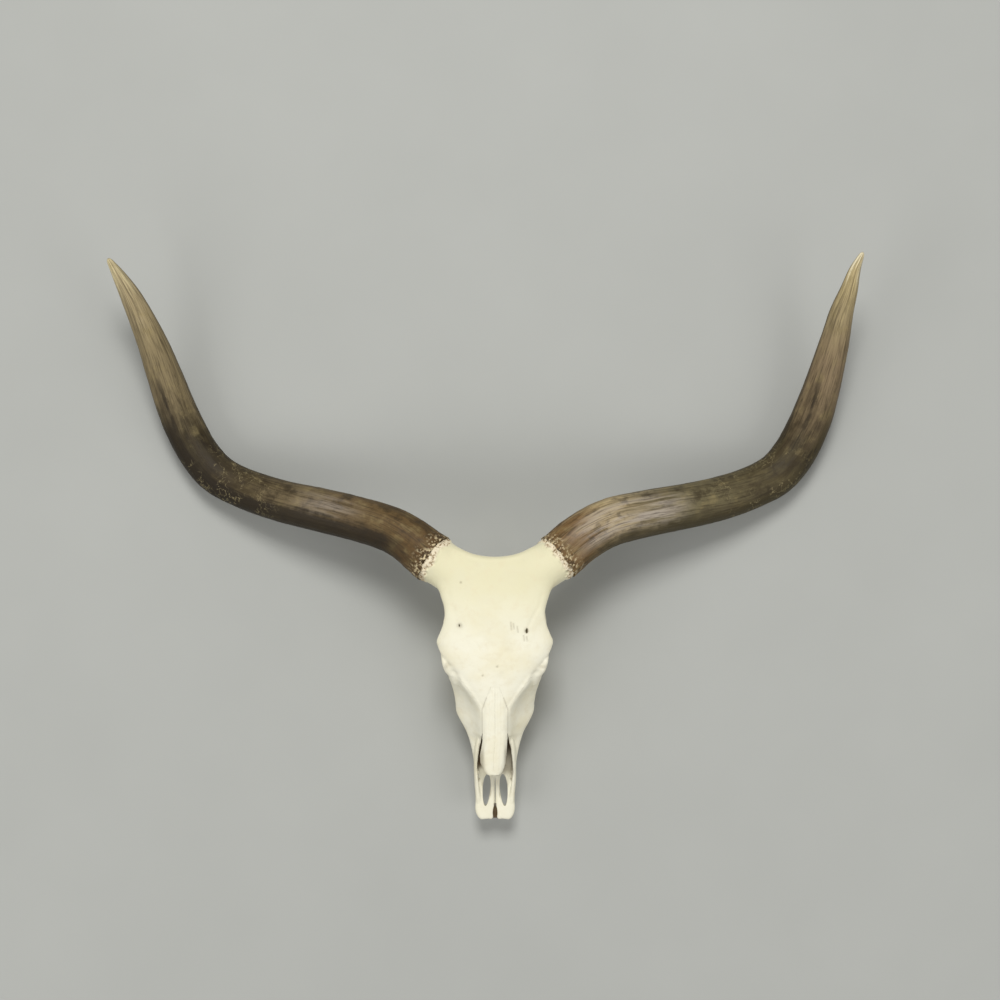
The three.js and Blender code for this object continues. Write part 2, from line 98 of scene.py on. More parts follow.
# Height of the walls beside the nose, which fall away from the nasal bones in front: (y, z).
NOTCH = ((-400, 64), (-385, 72), (-372, 81), (-352, 95), (-335, 106), (-322, 118), (-312, 134), (-100, 300))
# The two nasal bones together: (y, half width).
NASAL_PAIR = (
    (-386, 17), (-378, 19.5), (-368, 21), (-350, 22), (-330, 21.8), (-300, 22.4), (-266, 22.4), (-244, 15),
    (-224, 7),
)
# Nasal cavity: (y, half width, height of its floor, half width higher up).
NASAL_CAVITY = (
    (-425, 29, 50, 29), (-400, 29, 50, 29), (-380, 30, 52, 30.5), (-362, 30.5, 53, 30.5),
    (-342, 31, 53, 27.5), (-329, 31.5, 53, 24.5), (-316, 32, 52.5, 24.5), (-300, 33, 52, 27),
    (-262, 33, 52, 27), (-240, 28, 54, 22), (-214, 20, 60, 14),
)
# Horn axes: (x, y, z, radius). The first two points set the plane where the horn starts.
HORNS = {
    "left": (
        (110, -1, 158, 42.4), (149, 31, 148, 42.6), (197, 57, 134, 42.2), (264, 73, 112, 41),
        (335, 86, 88, 39.9), (400, 100, 66, 39), (462, 121, 47, 38), (505, 144, 38.4, 38),
        (536, 180, 37.3, 37.8), (561, 230, 44, 36.6), (577, 280, 57, 33.7), (597, 374, 96, 25.9),
        (605, 424, 118, 20.8), (614, 460, 135, 15.6), (622, 496, 152, 9.7), (633, 524, 165, 3.6),
    ),
    "right": (
        (-107, -3, 158, 43.4), (-170, 41, 141, 40), (-237, 63, 120, 38.8), (-309, 80, 97, 38.4),
        (-382, 96, 72, 37), (-457, 121, 48, 36), (-502, 146, 38, 36.3), (-533, 183, 35.5, 36),
        (-551, 215, 37, 35.6), (-569, 258, 45, 34.4), (-587, 315, 62, 31.3), (-607, 380, 88, 26),
        (-634, 450, 122, 18.6), (-652, 487, 143, 11.3), (-667, 514, 159, 3.8),
    ),
}
# Cheek teeth from front to back: (y, x of its middle, length, width, height of its crown above the floor).
CHEEK_TEETH = (
    (-281, 39, 16, 15, 3), (-264, 43, 18, 18, 2), (-245.5, 46.5, 18, 20, 1),
    (-223, 49.5, 25, 23, 0), (-196.5, 51, 27, 24, 0), (-168.5, 50, 28, 23, 0),
)
# Orbits: middle and radius of the mouth, radius of the rim, depth, and how far the rim's front bends in.
ORBIT_X, ORBIT_Y, ORBIT_Z, ORBIT_HALF, ORBIT_RIM, ORBIT_DEPTH = 86, -179, 131, 32, 6, 52
RIM_TURN_IN = 0.008
# The muzzle's slots: y of their middle and half their length. The notch between them has a thin floor.
SLOT_Y, SLOT_HALF, NOTCH_FLOOR = -420.5, 28, 52.5
# Nerve holes of the forehead, one above each orbit: (x, y).
BROW_HOLES = ((-60, -117), (54, -126))
# Small marks of the forehead: scratches (x, y, length) and pits (x, y, radius).
SCRATCHES = ((27, -111, 13), (31.5, -113, 9), (38, -118, 10), (49, -134, 9), (54, -136, 7))
SCRATCH_SLANT = 1.5
PITS = ((-58, -43, 3.4), (-21, -204, 3.0), (4, -188, 3.4))


def linear(hex_colour):
    """An sRGB hex colour as the linear RGBA that Blender's sockets take."""
    parts = [int(hex_colour[i:i + 2], 16) / 255 for i in (0, 2, 4)]
    return tuple(c / 12.92 if c <= 0.04045 else ((c + 0.055) / 1.055) ** 2.4 for c in parts) + (1.0,)


# Curves and forms


def hermite(a, b, slope_a, slope_b, f):
    """The smooth step from a to b at a share f of the way, with a slope at each end."""
    f2, f3 = f * f, f * f * f
    return (
        a * (2 * f3 - 3 * f2 + 1) + slope_a * (f3 - 2 * f2 + f) + b * (3 * f2 - 2 * f3) + slope_b * (f3 - f2)
    )


def sample(rows, t):
    """Smooth values between the rows of a table whose first column rises."""
    rows = np.asarray(rows, float)
    i = int(np.clip(np.searchsorted(rows[:, 0], t, side="right") - 1, 0, len(rows) - 2))
    a, b = rows[i], rows[i + 1]
    step = b[0] - a[0]
    f = min(max((t - a[0]) / step, 0.0), 1.0)
    before, after = rows[max(i - 1, 0)], rows[min(i + 2, len(rows) - 1)]
    slope_a = (b[1:] - before[1:]) / (b[0] - before[0]) * step
    slope_b = (after[1:] - a[1:]) / (after[0] - a[0]) * step
    return hermite(a[1:], b[1:], slope_a, slope_b, f)


def dorsal(y):
    return float(sample(DORSAL_LINE, y)[0])


def below_dorsal(co):
    """How far points lie below the line of the forehead and nose."""
    return np.interp(co[:, 1], *zip(*DORSAL_LINE)) - co[:, 2]


def spline(points, t):
    """A point of the smooth line through the points, which are spaced evenly in t."""
    points = np.asarray(points, float)
    last = len(points) - 1
    i = min(int(t * last), last - 1)
    p0, p1, p2, p3 = points[max(i - 1, 0)], points[i], points[i + 1], points[min(i + 2, last)]
    return hermite(p1, p2, (p2 - p0) / 2, (p3 - p1) / 2, t * last - i)


class Path:
    """Centripetal curve through points, as the solids' limbs and horns follow."""

    def __init__(self, points):
        p = np.asarray(points, float)
        self.p = np.vstack([2 * p[0] - p[1], p, 2 * p[-1] - p[-2]])
        self.last = len(p) - 1

    def point(self, t):
        at = min(max(t, 0.0), 1.0) * self.last
        i = min(int(at), self.last - 1)
        p0, p1, p2, p3 = self.p[i:i + 4]
        spans = (p1 - p0, p2 - p1, p3 - p2)
        d0, d1, d2 = (max(float(np.linalg.norm(span)), 1e-9) ** 0.5 for span in spans)
        slope_a = ((p1 - p0) / d0 - (p2 - p0) / (d0 + d1) + (p2 - p1) / d1) * d1
        slope_b = ((p2 - p1) / d1 - (p3 - p1) / (d1 + d2) + (p3 - p2) / d2) * d1
        return hermite(p1, p2, slope_a, slope_b, at - i)

    def tangent(self, t):
        a, b = self.point(max(t - 1e-4, 0.0)), self.point(min(t + 1e-4, 1.0))
        return (b - a) / np.linalg.norm(b - a)


def mesh_object(name, bm):
    mesh = bpy.data.meshes.new(name)
    bm.to_mesh(mesh)
    bm.free()
    obj = bpy.data.objects.new(name, mesh)
    bpy.context.scene.collection.objects.link(obj)
    return obj


def shaped_sphere(around, rings, place):
    """A sphere whose every point is placed by a rule of its polar angle and its angle round the axis."""
    bm = bmesh.new()
    bmesh.ops.create_uvsphere(bm, u_segments=around, v_segments=rings, radius=1.0)
    for v in bm.verts:
        polar = math.acos(min(max(v.co.z, -1.0), 1.0))
        v.co = place(polar, math.atan2(v.co.x, v.co.y))
    if bm.calc_volume(signed=True) < 0:
        bmesh.ops.reverse_faces(bm, faces=bm.faces)
    return mesh_object("form", bm)


def fullness(polar, blunt):
    """How wide a form is near its ends: the smaller blunt is, the squarer they are."""
    return max(math.sin(polar) - 1e-9, 0.0) ** blunt


def loft(rows, outline, around=64, rings=64, blunt=0.4):
    """A body along y whose half section, from top to bottom, is a smooth line through a few points."""
    start, end = rows[0][0], rows[-1][0]
    sections = {}

    def place(polar, angle):
        key = round(polar, 5)
        if key not in sections:
            y = start + (end - start) * (1 - math.cos(polar)) / 2
            points = outline(y, *sample(rows, y))
            sections[key] = (y, points, (points[0][1] + points[-1][1]) / 2, fullness(polar, blunt))
        y, points, middle, swell = sections[key]
        px, pz = spline(points, abs(angle) / math.pi)
        on_midline = abs(math.sin(angle)) < 1e-5
        x = 0.0 if on_midline else math.copysign(max(px, 0.05) * swell, angle)
        return Vector((x, y, middle + (pz - middle) * swell))

    return shaped_sphere(around, rings, place)


def limb(stations, side=1, up=(0, 0, 1), around=28, rings=26, blunt=0.5, square=2, lean=0):
    """A rounded bar along a path of (x, y, z, side radius, rise radius)."""
    path = Path([(side * s[0], s[1], s[2]) for s in stations])
    radii = [(i / (len(stations) - 1), s[3], s[4] if len(s) > 4 else s[3]) for i, s in enumerate(stations)]
    upward = np.asarray(up, float)
    power = 2 / square
    frames = {}

    def place(polar, angle):
        key = round(polar, 5)
        if key not in frames:
            t = (1 - math.cos(polar)) / 2
            tangent = path.tangent(t)
            sideways = np.cross(tangent, upward)
            sideways /= np.linalg.norm(sideways)
            risen = np.cross(sideways, tangent)
            turn = math.radians(side * lean)
            sideways, risen = (
                sideways * math.cos(turn) + np.cross(tangent, sideways) * math.sin(turn),
                risen * math.cos(turn) + np.cross(tangent, risen) * math.sin(turn),
            )
            frames[key] = (path.point(t), sideways, risen, sample(radii, t), fullness(polar, blunt))
        centre, sideways, risen, (across, rise), swell = frames[key]
        c, s = math.cos(angle), math.sin(angle)
        return Vector(
            centre
            + sideways * across * swell * math.copysign(abs(s) ** power, s)
            + risen * rise * swell * math.copysign(abs(c) ** power, c)
        )

    return shaped_sphere(around, rings, place)


def egg(centre, radii, side=1):
    bm = bmesh.new()
    bmesh.ops.create_icosphere(bm, subdivisions=4, radius=1.0)
    bmesh.ops.scale(bm, vec=Vector(radii), verts=bm.verts)
    bmesh.ops.translate(bm, vec=Vector((side * centre[0], centre[1], centre[2])), verts=bm.verts)
    return mesh_object("egg", bm)


def block(axis, outline, low, high, tooth=0.0):
    """A straight-walled block: an outline on the plane across an axis, drawn out along it.

    For x the points are (y, z), for y they are (z, x) and for z they are (x, y). tooth makes the walls wavy,
    as an interlocked suture is.
    """
    first = "xyz".index(axis)
    ring = []
    for (a0, b0), (a1, b1) in zip(outline, outline[1:] + outline[:1]):
        length = math.hypot(a1 - a0, b1 - b0)
        steps = max(int(length / 3.0), 1) if tooth and length < 200 else 1
        for k in range(steps):
            f = k / steps
            shift = tooth * math.sin(k * 2.1 + 0.7 * math.sin(k * 0.9)) if 0 < k else 0.0
            a, b = a0 + (a1 - a0) * f, b0 + (b1 - b0) * f
            ring.append((a - (b1 - b0) / length * shift, b + (a1 - a0) / length * shift))
    bm = bmesh.new()
    verts = []
    for a, b in ring:
        co = [0.0, 0.0, 0.0]
        co[first], co[(first + 1) % 3], co[(first + 2) % 3] = low, a, b
        verts.append(bm.verts.new(co))
    face = bm.faces.new(verts)
    drawn = bmesh.ops.extrude_face_region(bm, geom=[face])
    step = Vector([high - low if i == first else 0.0 for i in range(3)])
    bmesh.ops.translate(bm, vec=step, verts=[g for g in drawn["geom"] if isinstance(g, bmesh.types.BMVert)])
    bmesh.ops.triangulate(bm, faces=bm.faces)
    bmesh.ops.recalc_face_normals(bm, faces=bm.faces)
    return mesh_object("block", bm)


def mirrored(points):
    return list(points) + [(-x, y) for x, y in reversed(points)]


# Joining, cutting and smoothing


def discard(*objects):
    for obj in objects:
        mesh = obj.data
        bpy.data.objects.remove(obj)
        bpy.data.meshes.remove(mesh)


def modified(obj, kind, **settings):
    """Applies one modifier and returns the object with its new mesh."""
    modifier = obj.modifiers.new(kind, kind)
    for key, value in settings.items():
        setattr(modifier, key, value)
    bpy.context.view_layer.update()
    mesh = bpy.data.meshes.new_from_object(obj.evaluated_get(bpy.context.evaluated_depsgraph_get()))
    old = obj.data
    obj.modifiers.clear()
    obj.data = mesh
    bpy.data.meshes.remove(old)
    return obj


def fused(objects, voxel):
    """Fuses closed forms into one body on a grid of voxels."""
    bm = bmesh.new()
    for obj in objects:
        bm.from_mesh(obj.data)
    discard(*objects)
    return modified(mesh_object("body", bm), "REMESH", mode="VOXEL", voxel_size=voxel, adaptivity=0.0)


def combined(obj, other, operation):
    modified(obj, "BOOLEAN", operation=operation, object=other, solver="MANIFOLD")
    discard(other)
    return obj


def copy_of(obj):
    twin = bpy.data.objects.new(obj.name, obj.data.copy())
    bpy.context.scene.collection.objects.link(twin)
    return twin


def keep_largest(obj):
    """Drops loose scraps, so that a bone is one closed surface."""
    bm = bmesh.new()
    bm.from_mesh(obj.data)
    bm.verts.ensure_lookup_table()
    seen, islands = set(), []
    for start in bm.verts:
        if start in seen:
            continue
        stack, island = [start], []
        seen.add(start)
        while stack:
            v = stack.pop()
            island.append(v)
            for e in v.link_edges:
                w = e.other_vert(v)
                if w not in seen:
                    seen.add(w)
                    stack.append(w)
        islands.append(island)
    islands.sort(key=len)
    for island in islands[:-1]:
        bmesh.ops.delete(bm, geom=island, context="VERTS")
    bm.to_mesh(obj.data)
    bm.free()
    return obj


def positions(mesh, key="co"):
    values = np.empty(len(mesh.vertices) * 3)
    mesh.vertices.foreach_get(key, values)
    return values.reshape(-1, 3)


def set_positions(mesh, values):
    mesh.vertices.foreach_set("co", np.ascontiguousarray(values).ravel())
    mesh.update()


HASH_FACTORS, HASH_START = (73856093, 19349663, 83492791), 1013904223


def value_noise(points, cell, seed):
    """Smooth noise from -1 to 1 on a hashed lattice, the same on every run."""
    q = np.asarray(points, float) / cell
    base = np.floor(q).astype(np.int64)
    f = q - base
    f = f * f * (3 - 2 * f)
    total = np.zeros(len(q))
    for corner in itertools.product((0, 1), repeat=3):
        h = np.bitwise_xor.reduce((base + corner) * HASH_FACTORS, axis=1)
        h ^= seed * HASH_FACTORS[2] + HASH_START
        h = ((h ^ (h >> 13)) * 1274126177) & 0x7FFFFFFF
        h = ((h ^ (h >> 15)) * 60493) & 0x7FFFFFFF
        weight = np.prod(np.where(corner, f, 1 - f), axis=1)
        total += ((h & 0xFFFF) / 32767.5 - 1) * weight
    return total


def layered_noise(points, cell, seed, layers=3):
    return sum(value_noise(points, cell / 2 ** k, seed + k) / 2 ** k for k in range(layers)) / 1.6


def bump_at(points, centre, radius):
    """1 at a centre, falling smoothly to 0 at a radius; a centre without a height is one seen from above."""
    d = np.linalg.norm(points[:, :len(centre)] - np.asarray(centre, float), axis=1) / radius
    return np.clip(1 - d * d, 0, 1) ** 2


def near_line(points, line, width):
    """1 on a bent line seen from above, falling to 0 a few widths away."""
    best = np.full(len(points), 1e9)
    for a, b in zip(line, line[1:]):
        a, b = np.asarray(a, float), np.asarray(b, float)
        along = np.clip((points[:, :2] - a) @ (b - a) / ((b - a) @ (b - a)), 0, 1)
        best = np.minimum(best, np.linalg.norm(points[:, :2] - a - along[:, None] * (b - a), axis=1))
    return np.exp(-((best / width) ** 2))


def smoothstep(values, low, high):
    f = np.clip((np.asarray(values, float) - low) / (high - low), 0, 1)
    return f * f * (3 - 2 * f)


# The skull's forms


def forehead():
    def plate(y, half, drop):
        top = dorsal(y)
        return [
            (0, top), (0.45 * half, top - 0.1 * drop), (0.8 * half, top - 0.42 * drop),
            (0.97 * half, top - 0.85 * drop), (half, top - drop - 4), (0.93 * half, top - drop - 12),
            (0.7 * half, top - drop - 22), (0.35 * half, top - drop - 28), (0, top - drop - 28),
        ]

    obj = loft(FOREHEAD, plate, around=96, rings=110, blunt=0.35)
    # the corners of the poll reach back on both sides of its hollow curve
    corner_x, reach, curve = 84, 33, 2.4
    co = positions(obj.data)
    share = smoothstep(co[:, 1], -70, -6)
    co[:, 1] += share * reach * np.minimum(np.abs(co[:, 0]) / corner_x, 1.1) ** curve
    set_positions(obj.data, co)
    return obj


def horn_plane(name):
    """A point of the plane where a horn starts, and the way the horn leaves it."""
    a, b = (Vector(station[:3]) for station in HORNS[name][:2])
    return a, (b - a).normalized()


def past_base(co, name):
    """How far points lie past the plane where a horn starts."""
    base, axis = horn_plane(name)
    return (co - np.asarray(base)) @ np.asarray(axis)


def pedicle(name, side):
    """The root of bone that a horn sits on. It ends a little past the plane where the horn starts."""
    (x, y, z, r), (nx, ny, nz, _) = HORNS[name][:2]
    past = 0.25
    return limb([
        (36, -42, 174, 34, 26), (64, -30, 170, 40, 31), (abs(x) - 14, y - 9, z + 2, r - 3, r - 4),
        (abs(x), y, z, r - 0.6),
        (abs(x + (nx - x) * past), y + (ny - y) * past, z + (nz - z) * past, r - 0.6),
    ], side, around=56, rings=40, blunt=0.4)


def poll_ridge():
    half = (24, -5.5, 188.5, 9, 12), (45, 0.5, 187, 9, 13), (60, 8.5, 182, 9, 13), (76, 19.5, 171, 8, 12)
    return limb([(-x, *rest) for x, *rest in half[::-1]] + [(0, -8, 189, 9, 11), *half], around=32, rings=60)


def braincase():
    return loft(BRAINCASE, lambda y, half, floor: [
        (0, dorsal(y) - 14), (0.75 * half, dorsal(y) - 18), (half, 150), (half, 118),
        (0.85 * half, floor + 14), (0.5 * half, floor + 2), (0, floor),
    ], around=56, rings=44)


def occiput():
    forms = [
        limb([
            (0, -54, 58, 34, 12), (0, -48, 78, 70, 15), (0, -45, 98, 90, 17), (0, -42, 122, 88, 17),
            (0, -38, 150, 84, 17), (0, -34, 178, 84, 18),
        ], up=(0, 1, 0), around=64, rings=40, blunt=0.3, square=3.2),
        egg((0, -24, 148), (15, 8, 20)),
        limb([(0, -26, 72, 24, 11), (0, -64, 73, 18, 11), (0, -110, 80, 14, 10), (0, -160, 90, 12, 10)]),
    ]
    for _, side in SIDES:
        forms += [
            egg((23, -25, 69), (15.5, 18, 23), side),
            limb([(66, -46, 96, 14, 9), (67, -44, 66, 10, 7), (61, -45, 38, 6.5, 5), (56, -50, 20, 3, 3)],
                 side, up=(0, 1, 0)),
            egg((37, -68, 57), (9, 20, 17), side),
        ]
    return forms


def face():
    def section(y, top, crest, crest_z, gum, gum_z, palate):
        roof = min(dorsal(y) - 6, float(sample(NOTCH, y)[0]))
        vault = max(gum - 29, 3)
        return [
            (0, roof), (0.6 * top, roof - 0.5), (top, roof - 3),
            (top + 0.4 * (crest - top), crest_z + 0.52 * (roof - crest_z)), (crest - 1.5, crest_z + 8),
            (crest, crest_z - 2), (crest - 0.25 * (crest - gum), crest_z - 18), (gum + 1.5, gum_z + 8),
            (gum - 3, gum_z), (max(gum - 22, vault), gum_z + 1), (vault, palate), (0.5 * vault, palate),
            (0, palate),
        ]

    return loft(FACE, section, around=120, rings=100, blunt=0.13)


def nasal_plate():
    def section(y, half):
        top, under = dorsal(y), dorsal(y) - 5
        return [
            (0, top), (0.45 * half, top - 1), (0.76 * half, top - 3.6), (0.93 * half, top - 7.5),
            (half, top - 11.5), (0.86 * half, top - 12), (0.62 * half, under - 2.5), (0, under),
        ]

    return loft(NASAL_PAIR, section, around=80, rings=70, blunt=0.18)


def nasal_cavity():
    def section(y, half, floor, upper):
        top = dorsal(y)
        return [
            (0, top - 5), (9.6, top - 6), (16, top - 11), (upper, floor + 0.6 * (top - floor)),
            (half, floor + 24), (half - 2, floor + 7), (0.6 * half, floor), (0, floor),
        ]

    return [
        loft(NASAL_CAVITY, section, around=64, rings=60, blunt=0.12),
        limb([(0, -128, 52, 19, 16), (0, -165, 52, 21, 18), (0, -200, 58, 20, 16), (0, -226, 68, 16, 12)]),
    ]


def turbinate(side):
    """A scroll of thin bone that hangs down at the back of the nasal cavity."""
    return limb([
        (9, -212, 96, 8, 8), (9.2, -226, 84, 8, 8), (9.4, -235, 70, 7.8, 7), (9.6, -238, 60, 6, 5),
    ], side, up=(0, 1, 0))


def vomer():
    def section(y, half, top):
        foot = float(sample(NASAL_CAVITY, y)[1]) - 3
        return [
            (0, top), (half, top - 2), (half, foot + 10), (half + 2.5, foot + 6), (half + 2, foot), (0, foot),
        ]

    return loft(((-378, 2, 60), (-330, 2.2, 70), (-290, 2.4, 80), (-252, 2.6, 86)), section, blunt=0.2)


def orbit_hollow(side):
    x, y, z, half, rim = ORBIT_X, ORBIT_Y, ORBIT_Z, ORBIT_HALF, ORBIT_RIM
    return limb([
        (x + 30, y - 6, z + 6, half + 4, half + 2), (x, y, z, half - rim / 2, half - rim / 2),
        (x - 0.5 * ORBIT_DEPTH, y + 6, z - 2, half - 8, half - 8), (x - ORBIT_DEPTH, y + 16, z - 6, 12, 12),
    ], side, around=48, rings=36)


def orbit_wall(side):
    return [
        egg((66, -200, 126), (17, 27, 35), side),
        limb([(58, -180, 160, 18, 12), (75, -188, 157, 12, 10), (78, -204, 140, 5, 8)], side),
    ]


def orbit_rim(side):
    """A ring drawn round the orbit's mouth, its front turned in towards the nose."""
    bm = bmesh.new()
    made = bmesh.ops.create_circle(bm, cap_ends=False, radius=ORBIT_RIM, segments=16)
    turn = Matrix.Rotation(math.pi / 2, 4, "X")
    bmesh.ops.transform(bm, matrix=Matrix.Translation((ORBIT_HALF, 0, 0)) @ turn, verts=made["verts"])
    bmesh.ops.spin(
        bm, geom=bm.verts[:] + bm.edges[:], angle=2 * math.pi, steps=64, axis=(0, 0, 1), cent=(0, 0, 0),
        use_merge=True,
    )
    place = (
        Matrix.Translation((side * ORBIT_X, ORBIT_Y, ORBIT_Z))
        @ Matrix.Rotation(math.radians(-7 * side), 4, "Z") @ Matrix.Rotation(math.pi / 2, 4, "Y")
    )
    bmesh.ops.transform(bm, matrix=place, verts=bm.verts)
    for v in bm.verts:
        v.co.x -= side * RIM_TURN_IN * max(ORBIT_Y - v.co.y, 0) ** 2
    bmesh.ops.remove_doubles(bm, verts=bm.verts, dist=0.001)
    bmesh.ops.recalc_face_normals(bm, faces=bm.faces)
    return mesh_object("orbit_rim", bm)


def cheek(side):
    """The arch under the orbit, the jaw's socket behind it and the bar that closes the orbit behind."""
    return [
        limb([(44, -80, 92, 14, 8), (66, -84, 93, 16, 7), (82, -86, 96, 15, 6)], side),
        limb([
            (83, -72, 97, 4, 6), (85, -100, 99, 4.5, 8), (86.5, -130, 102, 4.5, 9), (86.5, -158, 103, 5, 11),
            (83, -188, 102, 6, 13), (74, -214, 98, 7, 12), (65, -238, 94, 6, 8),
        ], side, rings=44),
        limb([
            (90, -144, 176, 5, 12), (92, -145, 158, 4.5, 10), (89.5, -147, 138, 4, 7), (87, -150, 120, 4, 7),
            (85.5, -156, 102, 4.5, 10),
        ], side, up=(0, 1, 0)),
        orbit_rim(side),
    ]


def muzzle():
    """The floor of the nose, and on each side the outer bar, its foot and the bar beside the midline."""
    def floor_plate(y, half, low, high):
        return [(0, high), (0.6 * half, high), (half, (low + high) / 2), (0.6 * half, low), (0, low)]

    forms = [loft((
        (-471, 21, 49.5, 53.5), (-458, 25, 49.5, 54), (-440, 27, 49, 53), (-415, 29, 48, 52.5),
        (-398, 29, 47, 53), (-380, 30, 45, 53), (-340, 30, 44, 53), (-290, 34, 42, 54),
    ), floor_plate, around=48, rings=60, blunt=0.2)]
    for _, side in SIDES:
        forms += [
            limb([
                (28, -318, 108, 4, 8), (31.4, -340, 95, 5.2, 12), (33.2, -358, 85, 4.1, 10.5),
                (34.2, -372, 78, 3.1, 9), (34.2, -383, 72, 2.9, 8), (33.4, -402, 64, 3.2, 7.5),
                (31.5, -421, 59, 4.2, 6.5), (29, -440, 56, 6, 6), (28, -450, 55, 6, 5),
            ], side, rings=60, lean=14, square=2.3),
            limb([
                (29, -386, 52, 7, 4), (28.5, -415, 53, 7.6, 4.6), (21, -442, 54, 14.5, 6.2),
                (18.4, -458, 54.5, 17, 6.8), (16.4, MUZZLE_Y, 56, 15.2, 6),
            ], side, around=48, rings=48, square=2.6, blunt=0.36),
            limb([
                (4.7, -340, 49, 3.6, 4), (4.7, -392, 51, 3.7, 4.2), (5, -436, 53.5, 4, 4.8),
                (7, -458, 54.5, 5.5, 5.6), (8.4, MUZZLE_Y - 0.3, 55.5, 6.6, 5.6),
            ], side, rings=36, blunt=0.42),
        ]
    return forms


def palatine_walls(side):
    return limb([
        (22, -122, 72, 3, 12), (24, -145, 64, 3.2, 24), (26, -172, 58, 4, 26), (27, -196, 56, 5, 22),
    ], side, square=3)


def tooth(row, side):
    """A cheek tooth: a rounded block with folds down its sides and crescents on its grinding face."""
    y, x, length, width, lift = row
    top, spare = 36, 2  # its root's height, and what is drawn below the grinding face and pressed flat
    folds = 2 if length > width else 1

    def place(polar, angle):
        t = (1 - math.cos(polar)) / 2
        c, s = math.cos(angle), math.sin(angle)
        square = (abs(c) ** 4 + abs(s) ** 4) ** -0.25
        fold = 1 - 0.09 * (0.5 + 0.5 * math.cos(2 * folds * math.pi * c)) * abs(s)
        r = square * fold * fullness(polar, 0.12)
        height = max(lift - spare + (top - lift) * t, lift)
        return Vector((side * (x + width / 2 * s * r), y + length / 2 * c * r, height))

    obj = shaped_sphere(64, 48, place)
    co = positions(obj.data)
    grinding = co[:, 2] < lift + 0.05
    u = (co[:, 0] - side * x) / (width / 2)
    v = (co[:, 1] - y) / (length / 2) * folds
    crescent = np.abs(np.sin(math.pi * 0.5 * (v + folds)) * 0.5 + np.abs(u) - 0.62)
    co[:, 2] += grinding * 1.3 * np.exp(-((crescent / 0.13) ** 2)) * (np.abs(u) < 0.85)
    set_positions(obj.data, co)
    return obj


def relief(co, normal):
    """How far each point of the bare bone stands out or sinks in, in millimetres along its normal."""
    up = np.clip(normal[:, 2], 0, 1)
    out = 0.5 * layered_noise(co, 38, 11) + 0.2 * layered_noise(co, 9, 23) + 0.07 * value_noise(co, 2.6, 31)
    for name, side in SIDES:
        # rough spongy bone that ends in a ragged edge below each horn
        edge = -14 + 6 * value_noise(co, 12, 43)
        close = smoothstep(past_base(co, name), edge - 3, edge + 3) * (np.sign(co[:, 0]) == side)
        nodules = np.abs(value_noise(co, 6.5, 47)) + 0.5 * np.abs(value_noise(co, 3.2, 53))
        out += close * (2.1 - 4.2 * nodules)
        # the nerve hole's funnel, and the groove that runs back from it
        x, y = BROW_HOLES[0 if side < 0 else 1]
        groove = [(x, y), (x + side * 7, y + 17), (side * 75, y + 42), (side * 80, y + 62)]
        groove_depth, funnel_depth = (0.4, 1.4) if side < 0 else (0.9, 0.9)
        out -= groove_depth * up * near_line(co, groove, 3.2) * (0.7 + 0.3 * value_noise(co, 14, 59))
        out -= funnel_depth * up * bump_at(co, (x, y), 7)
        out += 1.0 * bump_at(co, (side * 67, -278, 80), 20)
        out -= 1.6 * bump_at(co, (side * 58, -240, 125), 30)
        # shallow seams along the nose
        for x, depth in ((5.4, 0.35), (10.8, 0.45)):
            seam = [(side * x, -236), (side * x * 1.06, -330), (side * x, -376)]
            out -= depth * up * near_line(co, seam, 0.9)
    out -= 0.8 * up * near_line(co, [(0, -222), (0, -384)], 1.3)
    for x, y, length in SCRATCHES:
        out -= 1.2 * up * near_line(co, [(x, y), (x + SCRATCH_SLANT, y - length)], 1.1)
    for x, y, r in PITS:
        out -= 1.1 * up * bump_at(co, (x, y), r)
    return out


def soften(obj, mask, steps):
    """Evens out a surface where the mask is 1, as where one form grows out of another."""
    mesh = obj.data
    edges = np.empty(len(mesh.edges) * 2, int)
    mesh.edges.foreach_get("vertices", edges)
    a, b = edges.reshape(-1, 2).T
    count = len(mesh.vertices)
    neighbours = np.maximum(np.bincount(a, minlength=count) + np.bincount(b, minlength=count), 1)
    co = positions(mesh)
    share = 0.6 * mask
    for _ in range(steps):
        for axis in range(3):
            line = co[:, axis]
            total = np.bincount(a, line[b], count) + np.bincount(b, line[a], count)
            co[:, axis] = line + share * (total / neighbours - line)
    set_positions(mesh, co)


def junctions(co):
    """Where the horns' roots grow out of the forehead, along the poll's curve and on each orbit's brow."""
    aside, (_, y, z) = np.abs(co[:, 0]), co.T
    short = np.ones(len(co))
    for name, side in SIDES:
        short = np.where(np.sign(co[:, 0]) == side, 1 - smoothstep(past_base(co, name), -14, -6), short)
    root = smoothstep(aside, 44, 66) * smoothstep(y, -112, -84)
    poll = (0.4 + 0.6 * smoothstep(aside, 12, 34)) * smoothstep(y, -62, -36) * smoothstep(z, 120, 150)
    brow = bump_at(np.abs(co), (74, 209), 17) * smoothstep(z, 120, 132)
    return np.maximum(np.maximum(root, poll) * short, brow)


